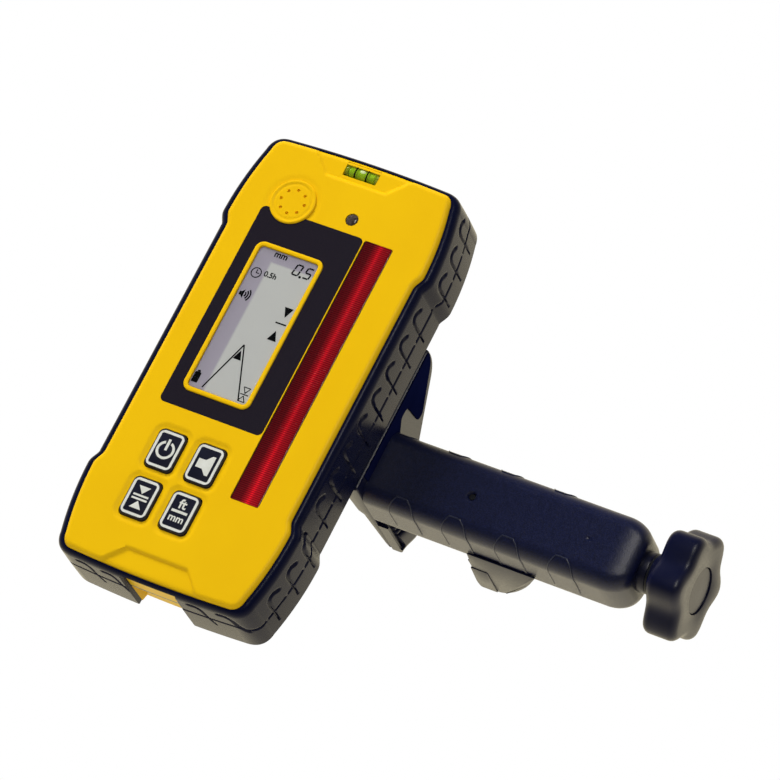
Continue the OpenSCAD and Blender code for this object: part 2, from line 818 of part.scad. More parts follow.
module thread_inserts() {
  color("goldenrod") receiver() at_bracket_screws()
    difference() {
      rod_y(case_d - wall - insert_l, case_d, insert_r);
      rod_y(case_d - wall - insert_l - cut, case_d + cut, bracket_screw_r + fit);
    }
}

module bracket_screws() {
  color("silver") receiver() at_bracket_screws() {
    rod_y(case_d - insert_l, case_d + plate_t + weld, bracket_screw_r);
    rod_y(case_d + plate_t, case_d + plate_t + bracket_head_h, bracket_head_r);
  }
}

// Clamp: bracket with the fixed jaw, handle and grip

// Profile of the fixed jaw's fin in Y and Z
module fin_profile() {
  polygon(soften(
    [[plate_y, handle_low], [plate_y, plate_top], [fin_slope_y, plate_top], [jaw_d, fin_tip_z],
      [jaw_d, handle_low]],
    [0, 1, top_round, tip_round, tip_round]));
}

module clamp_bracket() {
  color("black")
    difference() {
      union() {
        bar(fin_x0, fin_x1) fin_profile();
        slab(plate_y, -handle_d) polygon(soften(
          [[fin_x1 - plate_w, -plate_low], [fin_x1 - plate_w, plate_top], [fin_x0 + weld, plate_top],
            [fin_x0 + weld, -plate_low]],
          [top_round, top_round, 0, 0]));
      }
      on_axis() rod_x(fin_x0 - cut, fin_x1 + cut, tail_r + run);
      receiver() at_bracket_screws() rod_y(case_d - cut, case_d + plate_t + cut, bracket_screw_r + fit);
    }
}

module fixed_jaw_pad() {
  y0 = pad_margin;
  y1 = jaw_d - pad_margin;
  z0 = handle_low + pad_margin;
  color("black") bar(fin_x1, 0)
    polygon(soften([[y0, z0], [y0, -z0], [y0 + pad_margin, -z0], [y1, fin_tip_z - pad_margin], [y1, z0]],
      [0, 0, pad_margin, pad_margin, pad_margin]));
}

// Outer section of the handle in Y and Z, drawn in for the dome
module handle_section(in_y, in_z) {
  r = max(1, handle_r - min(in_y, in_z) / 2);
  translate([axis_y, 0]) round_rect(handle_d - 2 * in_y, handle_h - 2 * in_z, r);
}

// Section of the channel in Y and Z
module core_section() {
  intersection() {
    handle_section(0, 0);
    translate([core_y, -core_h / 2]) square([handle_d, core_h]);
  }
}

module handle_core() {
  color("black")
    difference() {
      bar(fin_x1, core_x1) core_section();
      block([fin_x1 - cut, cavity_y0, -cavity_h / 2], [core_x1 - core_end, -back_t, cavity_h / 2]);
      block([slot_x0, -back_t - cut, -slot_h / 2], [slot_x1, cut, slot_h / 2]);
      on_axis() rod_x(core_x1 - core_end - cut, core_x1 + cut, screw_r + run);
      translate([grip_screw_x, 0, 0]) rod_y(core_y - cut, cavity_y0 - fit, grip_screw_r);
    }
}

module handle_grip() {
  color("black")
    difference() {
      union() {
        bar(fin_x1, dome_x + weld) handle_section(0, 0);
        hull()
          for (a = [0:18:90])
            bar(dome_x + dome_l * sin(a) - thin, dome_x + dome_l * sin(a))
              handle_section(dome_in_y * (1 - cos(a)), dome_in_z * (1 - cos(a)), $fn = dome_fn);
      }
      bar(fin_x1 - cut, core_x1) core_section();
      on_axis() rod_x(core_x1 - cut, handle_x1 + cut, screw_r + slide);
      translate([grip_screw_x, 0, 0]) rod_y(-handle_d - cut, core_y + cut, grip_hole_r);
    }
}

module grip_screw() {
  color("dimgray") translate([grip_screw_x, 0, 0])
    rod_y(-handle_d + grip_screw_in, cavity_y0 - 2 * fit, grip_screw_r - fit);
}

module end_collar() {
  color("black") on_axis()
    difference() {
      rod_x(handle_x1, collar_x1, collar_r);
      rod_x(handle_x1 - cut, collar_x1 + cut, screw_r + run);
    }
}

// Clamp: moving jaw

// Jaw seen from above in X and Y, with its rounded outer side
module jaw_plan() {
  mid = [jaw_tip_x + jaw_bulge * (jaw_root_x - jaw_tip_x), jaw_y0 + jaw_bulge * (jaw_d - jaw_y0)];
  polygon(soften([[jaw_x0, jaw_y0], [jaw_x0, jaw_d], [jaw_tip_x, jaw_d], mid, [jaw_root_x, jaw_y0]],
    [0, 1, tip_round, top_round, 0]));
}

// Jaw seen from its side in Y and Z
module jaw_profile() {
  polygon(soften([[jaw_y0, jaw_low], [jaw_y0, -jaw_low], [jaw_d, jaw_low + tip_h], [jaw_d, jaw_low]],
    [0, tip_round, tip_round, tip_round]));
}

module moving_jaw() {
  color("black")
    difference() {
      union() {
        intersection() {
          translate([0, 0, jaw_low]) linear_extrude(-2 * jaw_low) jaw_plan();
          bar(jaw_x0 - cut, jaw_root_x + cut) jaw_profile();
        }
        block([carriage_x0, -back_t - cut, -neck_h / 2], [carriage_x1, jaw_y0 + weld, neck_h / 2]);
        block([carriage_x0, carriage_y0, -carriage_h / 2], [carriage_x1, carriage_y1, carriage_h / 2]);
      }
      on_axis() {
        rod_x(carriage_x0 - cut, carriage_x1 + cut, screw_r + slide);
        block([carriage_x1 - nut_l, -nut_h / 2, -nut_h / 2], [carriage_x1 + cut, nut_h / 2, nut_h / 2]);
      }
    }
}

module moving_jaw_pad() {
  y0 = pad_margin;
  y1 = jaw_d - pad_margin;
  z0 = jaw_low + pad_margin;
  color("black") bar(jaw_gap, jaw_x0)
    polygon(soften([[y0, z0], [y0, -z0 - pad_margin], [y1, jaw_low + tip_h - pad_margin], [y1, z0]],
      [0, pad_margin, pad_margin, pad_margin]));
}

module jaw_nut() {
  color("goldenrod") on_axis()
    difference() {
      block([carriage_x1 - nut_l, -nut_h / 2, -nut_h / 2], [carriage_x1, nut_h / 2, nut_h / 2]);
      rod_x(carriage_x1 - nut_l - cut, carriage_x1 + cut, screw_r + run);
    }
}

// Clamp: screw and knob

module clamp_screw() {
  color("silver") on_axis() {
    rod_x(tail_x0, screw_x0 + weld, tail_r);
    rod_x(screw_x0, screw_x1, screw_r);
  }
}

module screw_clip() {
  color("silver") on_axis()
    difference() {
      rod_x(clip_x0, clip_x0 + clip_t, clip_r);
      rod_x(clip_x0 - cut, clip_x0 + clip_t + cut, screw_r);
    }
}

module thrust_washer() {
  color("silver") on_axis()
    difference() {
      rod_x(washer_x0, washer_x0 + washer_t, collar_r - fit);
      rod_x(washer_x0 - cut, washer_x0 + washer_t + cut, screw_r + run);
    }
}

module knob() {
  color("black") on_axis()
    difference() {
      union() {
        rod_x(hub_x0, knob_x0 + weld, hub_r);
        bar(knob_x0, knob_x1) polygon(knob_outline());
      }
      rod_x(hub_x0 - cut, screw_x1, screw_r);
      rod_x(knob_x1 - cap_in - cap_t, knob_x1 + cut, knob_cap_r + fit);
    }
}

module knob_cap() {
  color("black") on_axis() rod_x(knob_x1 - cap_in - cap_t, knob_x1 - cap_in, knob_cap_r);
}

front_shell();
rear_shell();
shell_gasket();
rubber_boot();
display_panel();
screen_frame();
screen_lens();
screen_module();
beam_window();
light_baffle();
photodiodes();
main_board();
board_screws();
keypad_mat();
key_power();
key_volume();
key_precision();
key_units();
buzzer();
lamp_lens();
lamp_led();
vial_tube();
vial_plugs();
vial_fluid();
battery_cells();
battery_contacts();
battery_door();
door_pin();
case_screws();
thread_inserts();
bracket_screws();
clamp_bracket();
fixed_jaw_pad();
handle_core();
handle_grip();
grip_screw();
end_collar();
moving_jaw();
moving_jaw_pad();
jaw_nut();
clamp_screw();
screw_clip();
thrust_washer();
knob();
knob_cap();
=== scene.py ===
import math

import bmesh
import bpy
import numpy as np
from mathutils import Matrix, Vector
from mathutils.geometry import delaunay_2d_cdt
from mathutils.kdtree import KDTree


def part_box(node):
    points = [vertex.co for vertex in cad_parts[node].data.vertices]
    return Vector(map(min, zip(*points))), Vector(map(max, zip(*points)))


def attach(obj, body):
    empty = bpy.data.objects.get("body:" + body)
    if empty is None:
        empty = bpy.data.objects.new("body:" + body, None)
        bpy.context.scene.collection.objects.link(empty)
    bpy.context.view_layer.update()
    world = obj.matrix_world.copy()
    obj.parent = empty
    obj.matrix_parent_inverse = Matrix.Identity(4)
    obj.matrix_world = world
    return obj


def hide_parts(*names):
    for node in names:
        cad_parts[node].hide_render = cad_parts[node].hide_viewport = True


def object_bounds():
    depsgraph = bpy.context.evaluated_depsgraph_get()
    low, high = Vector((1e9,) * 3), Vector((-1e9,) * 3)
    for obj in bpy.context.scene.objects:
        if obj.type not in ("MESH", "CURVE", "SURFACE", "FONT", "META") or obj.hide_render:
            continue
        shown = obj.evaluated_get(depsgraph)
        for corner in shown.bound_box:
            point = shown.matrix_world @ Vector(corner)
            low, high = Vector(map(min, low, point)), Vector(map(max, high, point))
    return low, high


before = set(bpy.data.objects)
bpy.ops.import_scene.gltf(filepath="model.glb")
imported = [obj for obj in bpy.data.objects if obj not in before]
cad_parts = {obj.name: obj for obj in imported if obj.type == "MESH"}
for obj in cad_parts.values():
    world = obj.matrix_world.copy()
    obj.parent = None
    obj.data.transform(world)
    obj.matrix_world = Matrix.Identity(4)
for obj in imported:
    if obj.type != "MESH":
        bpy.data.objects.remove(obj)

cad_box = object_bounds()
MM = 0.001
XZ = [0, 2]


def mm_box(node):
    """Lowest and highest corner of a CAD node, in mm."""
    lo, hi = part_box(node)
    return np.array(lo) / MM, np.array(hi) / MM


# Receiver frame: X from the case's middle, depth Y from the front face, Z from the middle of its length
boot_lo, boot_hi = mm_box("rubber_boot")
shell_lo, shell_hi = mm_box("front_shell")
FACE_Y = mm_box("display_panel")[0][1]
ORIGIN = np.array([(boot_lo[0] + boot_hi[0]) / 2, FACE_Y, (boot_lo[2] + boot_hi[2]) / 2])


def on_face(node):
    """Middle and size of a CAD node in the receiver's own frame."""
    lo, hi = mm_box(node)
    return (lo + hi) / 2 - ORIGIN, hi - lo


# Case
END_CROWN = 0.9
END_W = shell_hi[0] - shell_lo[0]
CASE_TOP = (shell_hi[2] - shell_lo[2]) / 2 - END_CROWN
CASE_D = mm_box("rear_shell")[1][1] - FACE_Y
SPLIT, REAR_Y = (corner[1] - FACE_Y for corner in mm_box("shell_gasket"))
WAIST_IN = 1.9
STEP_Z = 46.2
STEP_L = 5.6
BULGE_Z = 50.5
BULGE_R = 115
CORNER_R = 5
CORNER_LEAN = 0.12
WALL = 2.2
FIT = 0.1
EDGE_R = 2.0
RECESS_D = 0.9
RECESS_W = 38
RECESS_IN_W = 24
RECESS_L = 7.4
RECESS_SOFT = 0.9
# Boot
BOOT_FRONT, BOOT_BACK = boot_lo[1] - FACE_Y, boot_hi[1] - FACE_Y
BOOT_SIDE_T = (boot_hi[0] - boot_lo[0] - END_W) / 2
BOOT_END_T = (boot_hi[2] - boot_lo[2] - shell_hi[2] + shell_lo[2]) / 2
BOOT_COLUMNS = 1380
BOOT_PITCH = 0.38
NOTCH_W = 22
NOTCH_RIM = 3.2
SCOOP = 2.4
GROOVE_D = 0.75
RIM_L = 3.0
# The boot's wall is thinner at its front, by this share, and eases out over this length
LIP_IN = 0.14
LIP_L = 18
SKIN = 0.02
# Face
PANEL_MID, PANEL_SIZE = on_face("display_panel")
PANEL_R = 2
FRAME_MID, FRAME_SIZE = on_face("screen_frame")
FRAME_R = 3.2
FRAME_BAND = 1.7
FRAME_PROUD = 0.5
WINDOW_MID, WINDOW_SIZE = on_face("beam_window")
WINDOW_FLANGE = 1.2
WINDOW_W, _, WINDOW_H = WINDOW_SIZE - 2 * WINDOW_FLANGE
WINDOW_R = 0.8
WINDOW_RIB = 0.75
WINDOW_RIB_D = 0.1
SPEAKER = on_face("buzzer")[0][XZ]
SPEAKER_R = 8.5
SPEAKER_PROUD = (FACE_Y - shell_lo[1]) * 0.6
SOUND_R = 0.6
SOUND_RING = 4.7
GAUZE_R = 6.2
GAUZE_T = 0.4
LAMP_MID = on_face("lamp_lens")[0]
LAMP_R = 2.3
LAMP_RISE = 1.1
VIAL_MID, VIAL_SIZE = on_face("vial_tube")
VIAL_OPEN = 13.4
KEYS = {"key_power": "power_key", "key_volume": "volume_key",
        "key_precision": "precision_key", "key_units": "units_key"}
KEY_FLANGE = 1
KEY_W, _, KEY_H = on_face("key_power")[1] - 2 * KEY_FLANGE
KEY_TOP = (mm_box("key_power")[0][1] - FACE_Y) * 0.4
KEY_R = 2.2
KEY_GAP = 0.3
# Ring printed on each key, and the thickness of print
PRINT_W, PRINT_H, PRINT_BAND = 9.9, 13.7, 0.95
PRINT_T = 0.05
DOOR_MID, DOOR_SIZE = on_face("battery_door")
DOOR_GAP = 0.3
BAY_WALL = 1.4
LCD_Y = mm_box("screen_module")[0][1] - FACE_Y
GLASS_Y = 0.15
COVER_Y = -0.25
# Clamp, in the part's frame
handle_lo, handle_hi = mm_box("handle_grip")
core_lo, core_hi = mm_box("handle_core")
jaw_lo, jaw_hi = mm_box("moving_jaw")
knob_lo, knob_hi = mm_box("knob")
AXIS_Y = (handle_lo[1] + handle_hi[1]) / 2
SCREW_AXIS = np.array([0, AXIS_Y, 0])


# Flat loops in X and Z, anticlockwise seen from the front

def round_rect(w, h, r, mid=(0, 0), steps=8):
    """Loop of a rectangle with round corners."""
    corners = []
    for sx, sz, start in ((1, 1, 0), (-1, 1, 90), (-1, -1, 180), (1, -1, 270)):
        a = np.radians(start + 90 * np.arange(steps + 1) / steps)
        centre = np.array([mid[0] + sx * (w / 2 - r), mid[1] + sz * (h / 2 - r)])
        corners.append(centre + r * np.column_stack([np.cos(a), np.sin(a)]))
    return np.vstack(corners)


def inset_rect(w, h, r, mid, steps=8, least=None):
    """Function that gives the loop of a round-cornered rectangle at an inset."""
    def loop(inset):
        corner = r if least is None else max(r - inset, least)
        return round_rect(w - 2 * inset, h - 2 * inset, corner, mid, steps)
    return loop


def circle(r, mid=(0, 0), steps=48):
    """Loop of a circle."""
    a = np.arange(steps) * 2 * math.pi / steps
    return np.column_stack([mid[0] + r * np.cos(a), mid[1] + r * np.sin(a)])


def split_edges(loop, pitch):
    """The loop with extra points, so that no edge is longer than pitch."""
    out = []
    for a, b in zip(loop, np.roll(loop, -1, axis=0)):
        parts = max(1, int(math.ceil(np.linalg.norm(b - a) / pitch)))
        out.extend(a + (b - a) * k / parts for k in range(parts))
    return np.array(out)


def run_along(points):
    """Length of a line of points up to each of them."""
    return np.concatenate([[0], np.cumsum(np.linalg.norm(np.diff(points, axis=0), axis=1))])


def even(loop, count):
    """The closed loop again as evenly spaced points."""
    closed = np.vstack([loop, loop[:1]])
    run = run_along(closed)
    at = np.linspace(0, run[-1], count, endpoint=False)
    return np.column_stack([np.interp(at, run, closed[:, k]) for k in (0, 1)])


def unit(vectors):
    """The vectors with a length of one."""
    return vectors / np.linalg.norm(vectors, axis=1)[:, None]


def normals(loop):
    """Outward normals of an anticlockwise loop."""
    along = unit(np.roll(loop, -1, axis=0) - np.roll(loop, 1, axis=0))
    return np.column_stack([along[:, 1], -along[:, 0]])


def soften(points, radii, steps=6):
    """Loop with each corner rounded by its own length."""
    p = np.array(points, float)
    out = []
    for a, b, c, r in zip(np.roll(p, 1, axis=0), p, np.roll(p, -1, axis=0), radii):
        s = b + r * (a - b) / np.linalg.norm(a - b)
        e = b + r * (c - b) / np.linalg.norm(c - b)
        out.extend((1 - t) ** 2 * s + 2 * t * (1 - t) * b + t * t * e for t in np.linspace(0, 1, steps + 1))
    return np.array(out)


def smooth_path(points, steps=4):
    """The path with a curve through its points."""
    p = np.array(points, float)
    p = np.vstack([2 * p[0] - p[1], p, 2 * p[-1] - p[-2]])
    out = []
    for a, b, c, d in zip(p, p[1:], p[2:], p[3:]):
        for t in np.arange(steps) / steps:
            out.append(0.5 * (2 * b + (c - a) * t + (2 * a - 5 * b + 4 * c - d) * t * t
                              + (3 * b - a - 3 * c + d) * t ** 3))
    return out + [p[-2]]


def smooth_step(t):
    """Eases from 0 to 1 as t goes from 0 to 1."""
    t = np.clip(t, 0, 1)
    return t * t * (3 - 2 * t)


def bulge_x(z):
    """Half width of an end bulge at height z."""
    return END_W / 2 - BULGE_R + math.sqrt(BULGE_R ** 2 - max(0, z - BULGE_Z) ** 2)


def side_x(z):
    """Half width of the case at height z: waist, soft step, then bulge."""
    waist = END_W / 2 - WAIST_IN
    return waist + float(smooth_step((z - STEP_Z) / STEP_L)) * (bulge_x(z) - waist)


def case_loop(count):
    """Outline of the case as evenly spaced points."""
    side_z = CASE_TOP - CORNER_R
    edge = bulge_x(side_z)
    start, end = np.array([edge, side_z]), np.array([edge - CORNER_R, CASE_TOP])
    ctrl = np.array([edge - CORNER_LEAN * CORNER_R, CASE_TOP])
    quarter = [(side_x(z), z) for z in np.linspace(0, side_z, 240)]
    for t in np.linspace(0, 1, 24)[1:]:
        quarter.append((1 - t) ** 2 * start + 2 * t * (1 - t) * ctrl + t * t * end)
    for u in np.linspace(1, 0, 60)[1:]:
        quarter.append((u * end[0], CASE_TOP + END_CROWN * (1 - u * u)))
    q = np.array(quarter)
    loop = np.vstack([q, (q * [-1, 1])[::-1][1:], (q * [-1, -1])[1:], (q * [1, -1])[::-1][1:-1]])
    return even(loop, count)


def panel_loop(grow):
    """Outline of the dark panel, with the bite that the speaker disc takes from its top edge."""
    steps = 8
    w, h = PANEL_SIZE[0] + 2 * grow, PANEL_SIZE[2] + 2 * grow
    loop = round_rect(w, h, PANEL_R, PANEL_MID[XZ], steps)
    r = SPEAKER_R + FIT - grow
    half = math.acos((SPEAKER[1] - PANEL_MID[2] - h / 2) / r)
    bite = [SPEAKER + r * np.array([math.sin(a), -math.cos(a)]) for a in np.linspace(half, -half, 24)]
    return np.vstack([loop[:steps + 1], bite, loop[steps + 1:]])


# Shapes, each a pair of points in mm and faces

def join(*shapes):
    """One shape from several."""
    points, faces, base = [], [], 0
    for part_points, part_faces in shapes:
        points.append(part_points)
        faces.extend(tuple(i + base for i in face) for face in part_faces)
        base += len(part_points)
    return np.vstack(points), faces


def moved(shape, offset):
    """The shape moved by offset."""
    return shape[0] + np.asarray(offset, float), shape[1]


def loft(rings, caps=True, wrap=False):
    """Skin through rings with equal counts; with wrap, the last ring joins the first."""
    rings = np.asarray(rings, float)
    count, size = rings.shape[:2]
    faces = []
    for r in range(count if wrap else count - 1):
        a, b = r * size, (r + 1) % count * size
        faces.extend((a + k, a + (k + 1) % size, b + (k + 1) % size, b + k) for k in range(size))
    if caps and not wrap:
        faces.append(tuple(range(size)))
        faces.append(tuple(range((count - 1) * size, count * size)))
    return rings.reshape(-1, 3), faces


def at_depth(loop, y):
    """Ring of a loop in X and Z at depth y, one value or one for each point."""
    return np.column_stack([loop[:, 0], np.broadcast_to(y, len(loop)), loop[:, 1]])


def at_x(loop, x):
    """Ring of a loop in Y and Z at x, one value or one for each point."""
    return np.column_stack([np.broadcast_to(x, len(loop)), loop])


def at_height(loop, z):
    """Ring of a loop in X and Y at height z, one value or one for each point."""
    return np.column_stack([loop, np.broadcast_to(z, len(loop))])


def inside(points, loop):
    """Which points lie inside the loop."""
    x, z = points[:, 0], points[:, 1]
    within = np.zeros(len(points), bool)
    for (x0, z0), (x1, z1) in zip(loop, np.roll(loop, -1, axis=0)):
        if z0 != z1:
            within ^= ((z0 > z) != (z1 > z)) & (x < (x1 - x0) * (z - z0) / (z1 - z0) + x0)
    return within


def within_loops(points, loops):
    """Which points lie inside the first loop and outside the others."""
    keep = inside(points, loops[0])
    for hole in loops[1:]:
        keep &= ~inside(points, hole)
    return keep


def grid_points(loops, pitch):
    """Grid inside the first loop and outside the others, clear of their edges."""
    lo, hi = loops[0].min(axis=0), loops[0].max(axis=0)
    x, z = np.meshgrid(np.arange(lo[0], hi[0], pitch), np.arange(lo[1], hi[1], pitch))
    points = np.column_stack([x.ravel(), z.ravel()])
    points = points[within_loops(points, loops)]
    edge = np.vstack(loops)
    tree = KDTree(len(edge))
    for k, p in enumerate(edge):
        tree.insert((p[0], p[1], 0), k)
    tree.balance()
    far = [tree.find((p[0], p[1], 0))[2] > 0.55 * pitch for p in points]
    return points[np.array(far, bool)]


def fill(loops, pitch=None):
    """Triangles inside the first loop and outside the others, over a grid where pitch is given."""
    points = [p for loop in loops for p in loop]
    edges, base = [], 0
    for loop in loops:
        edges.extend((base + k, base + (k + 1) % len(loop)) for k in range(len(loop)))
        base += len(loop)
    if pitch:
        points.extend(grid_points(loops, pitch))
    verts, _, faces, *_ = delaunay_2d_cdt([Vector(p) for p in points], edges, [], 0, 1e-6)
    flat = np.array([v[:] for v in verts])
    faces = np.array([f[:] for f in faces])
    return flat, [tuple(f) for f in faces[within_loops(flat[faces].mean(axis=1), loops)]]


def plate(outer, holes, thick, pitch=None, depth=None, fillet=0.0):
    """Closed plate with its front at depth(points) and its back at thick, with a rounded front edge."""
    depth = depth or (lambda points: np.zeros(len(points)))
    out = normals(outer)
    rings = [at_depth(outer, thick)]
    for a in np.linspace(0, math.pi / 2, 7) if fillet else [math.pi / 2]:
        loop = outer - out * fillet * (1 - math.cos(a))
        drop = fillet * (1 - math.sin(a))
        rings.append(at_depth(loop, drop + depth(loop) * (1 - drop / thick)))
    front, front_faces = fill([rings[-1][:, XZ], *holes], pitch)
    back, back_faces = fill([outer, *holes])
    shapes = [loft(rings, caps=False), (at_depth(front, depth(front)), front_faces),
              (at_depth(back, thick), back_faces)]
    for hole in holes:
        shapes.append(loft([at_depth(hole, depth(hole)), at_depth(hole, thick)], caps=False))
    return join(*shapes)


def facing_back(shape, y):
    """The shape turned to face back, with its front at depth y."""
    return shape[0] * [1, -1, 1] + [0, y, 0], shape[1]


def prism(loops, y0, y1):
    """Flat shape between two depths; loops after the first are holes."""
    return moved(plate(loops[0], loops[1:], y1 - y0), (0, y0, 0))


def stack(loop_at, levels, wrap=False):
    """Body through loops: levels are pairs of inset and depth."""
    return loft([at_depth(loop_at(inset), y) for inset, y in levels], wrap=wrap)


def lathe(profile, mid, axis="y", steps=48, wrap=False):
    """Body turned about an axis through mid, from pairs of radius and place along the axis."""
    ring_at = at_x if axis == "x" else at_depth
    return moved(loft([ring_at(circle(r, steps=steps), t) for r, t in profile], wrap=wrap), mid)


def soft_box(lo, hi, r):
    """Box with its edges along Y and at both ends rounded by r."""
    lo, hi = np.array(lo, float), np.array(hi, float)
    mid, size = (lo + hi) / 2, hi - lo
    front, back, k = lo[1], hi[1], r * 0.3
    levels = [(r, front), (k, front + k), (0, front + r), (0, back - r), (k, back - k), (r, back)]
    return stack(inset_rect(size[0], size[2], r, mid[XZ], 4), levels)


def linked(name, data):
    """New object in the scene."""
    obj = bpy.data.objects.new(name, data)
    bpy.context.scene.collection.objects.link(obj)
    return obj


def piece(name, shape, paint, node=None, body="receiver", slot=None, sharp=38):
    """Makes a piece from a shape in the part's frame, on its body and in the place of a CAD node."""
    points, faces = shape
    mesh = bpy.data.meshes.new(name)
    mesh.from_pydata([tuple(p) for p in points * MM], [], faces)
    work = bmesh.new()
    work.from_mesh(mesh)
    bmesh.ops.remove_doubles(work, verts=work.verts, dist=2e-6)
    bmesh.ops.dissolve_degenerate(work, edges=work.edges, dist=1e-7)
    bmesh.ops.recalc_face_normals(work, faces=work.faces)
    work.to_mesh(mesh)
    work.free()
    mesh.polygons.foreach_set("use_smooth", [True] * len(mesh.polygons))
    mesh.set_sharp_from_angle(angle=math.radians(sharp))
    mesh.materials.append(FINISH[paint])
    obj = linked(name, mesh)
    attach(obj, body)
    if node:
        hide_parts(node)


def receiver_piece(name, shape, paint, node=None, **more):
    """Piece whose shape is drawn in the receiver's own frame."""
    piece(name, moved(shape, ORIGIN), paint, node, **more)


# Finishes

FINISH = {}


def colour(code):
    """Linear colour of a six-digit sRGB code."""
    parts = [int(code[k:k + 2], 16) / 255 for k in (0, 2, 4)]
    return [p / 12.92 if p <= 0.04045 else ((p + 0.055) / 1.055) ** 2.4 for p in parts] + [1.0]


def add(tree, kind, sockets=None, **settings):
    """Adds a node: sockets take values or other nodes' outputs, and settings are its own properties."""
    node = tree.nodes.new("ShaderNode" + kind)
    for key, value in settings.items():
        setattr(node, key, value)
    for key, value in (sockets or {}).items():
        if isinstance(value, bpy.types.NodeSocket):
            tree.links.new(value, node.inputs[key])
        else:
            node.inputs[key].default_value = value
    return node


def noise(tree, size, detail):
    """Noise over the object's own coordinates, with features of that size in mm."""
    place = add(tree, "TexCoord").outputs["Object"]
    sockets = {"Vector": place, "Scale": 1 / (size * MM), "Detail": detail}
    return add(tree, "TexNoise", sockets).outputs["Fac"]


def ramp(tree, fac, stops):
    """Colour ramp over fac; stops are pairs of place and linear colour."""
    node = add(tree, "ValToRGB", {"Fac": fac})
    band = node.color_ramp
    while len(band.elements) < len(stops):
        band.elements.new(0.5)
    for element, (place, value) in zip(band.elements, stops):
        element.position = place
        element.color = value
    return node.outputs["Color"]


def spread(tree, fac, low, high, start=0.3, end=0.7):
    """Maps fac between start and end onto low to high."""
    sockets = {"Value": fac, "From Min": start, "From Max": end, "To Min": low, "To Max": high}
    return add(tree, "MapRange", sockets).outputs["Result"]


def axis_place(tree, axis, start, end):
    """Place along one axis of the part's frame: 0 at start and 1 at end, both in mm."""
    place = add(tree, "TexCoord").outputs["Object"]
    along = add(tree, "SeparateXYZ", {"Vector": place}).outputs[axis]
    return spread(tree, along, 0, 1, start * MM, end * MM)


def mixed(tree, way, first, second):
    """Two colours mixed in full by a blend mode."""
    node = add(tree, "Mix", {"Factor": 1.0}, data_type="RGBA", blend_type=way)
    inputs = [s for s in node.inputs if s.type == "RGBA"]
    tree.links.new(first, inputs[0])
    tree.links.new(second, inputs[1])
    return [s for s in node.outputs if s.type == "RGBA"][0]


def surface(name, paint, rough, grain, bump=0.0, **sockets):
    """Finish painted by a function, with roughness and fine bumps that wander over a grain in mm."""
    mat = bpy.data.materials.new(name)
    mat.use_nodes = True
    tree = mat.node_tree
    shader = tree.nodes["Principled BSDF"]
    tree.links.new(paint(tree), shader.inputs["Base Color"])
    fine = noise(tree, grain, 2.0)
    tree.links.new(spread(tree, fine, *rough), shader.inputs["Roughness"])
    if bump:
        height = add(tree, "Bump", {"Strength": bump, "Distance": grain * MM * 0.3, "Height": fine})
        tree.links.new(height.outputs["Normal"], shader.inputs["Normal"])
    for key, value in sockets.items():
        shader.inputs[key.replace("_", " ")].default_value = value
    FINISH[name] = mat


def finish(name, low, high, rough, cloud, grain, bump=0.0, **sockets):
    """Finish whose colour wanders between two values over clouds of a size in mm."""
    stops = ((0.32, colour(low)), (0.68, colour(high)))
    surface(name, lambda tree: ramp(tree, noise(tree, cloud, 3.0), stops), rough, grain, bump, **sockets)


def window_paint(tree):
    """Red window: dark at its sides, with a painted highlight along it, painted shade in bands across its
    ribs and a fade upwards.
    """
    left = ORIGIN[0] + WINDOW_MID[0] - WINDOW_W / 2
    low = ORIGIN[2] + WINDOW_MID[2] - WINDOW_H / 2
    across = axis_place(tree, "X", left, left + WINDOW_W)
    # Painted highlight: the bright band at about 0.6 of the width stands in for light caught inside the
    # window
    stops = ((0.0, "30060C"), (0.08, "680C14"), (0.34, "6E0C14"), (0.5, "B40E1C"),
             (0.6, "F61426"), (0.7, "B80E1E"), (0.92, "A20E18"), (1.0, "42060A"))
    line = ramp(tree, across, [(place, colour(code)) for place, code in stops])
    up = axis_place(tree, "Z", low, low + WINDOW_H)
    # Painted shade: dark bands, one for each rib, stand in for the shading of the ribs
    count = add(tree, "Math", {0: up, 1: WINDOW_H / WINDOW_RIB}, operation="MULTIPLY")
    swing = add(tree, "Math", {0: count.outputs[0], 1: 0.5}, operation="PINGPONG")
    rib_shade_bands = ramp(tree, swing.outputs[0], ((0.05, (0.4, 0.34, 0.34, 1)), (0.3, (1, 1, 1, 1))))
    fade = ramp(tree, up, ((0.0, (1, 1, 1, 1)), (0.3, (0.7, 0.7, 0.7, 1))))
    return mixed(tree, "MULTIPLY", mixed(tree, "MULTIPLY", line, rib_shade_bands), fade)


# Shade of the frame on the display
SHADE_W = 7
SHADE_H = 5.2


def display_paint(tree):
    """Liquid-crystal area: mauve in the frame's shade at the left and top, grey elsewhere."""
    left = ORIGIN[0] + FRAME_MID[0] - FRAME_SIZE[0] / 2 + FRAME_BAND
    top = ORIGIN[2] + FRAME_MID[2] + FRAME_SIZE[2] / 2 - FRAME_BAND
    stops = ((0.0, colour("A09AA6")), (0.86, colour("A8A2AE")), (1.0, colour("C8C9C4")))
    across = ramp(tree, axis_place(tree, "X", left, left + SHADE_W), stops)
    down = ramp(tree, axis_place(tree, "Z", top, top - SHADE_H), stops)
    return mixed(tree, "DARKEN", across, down)


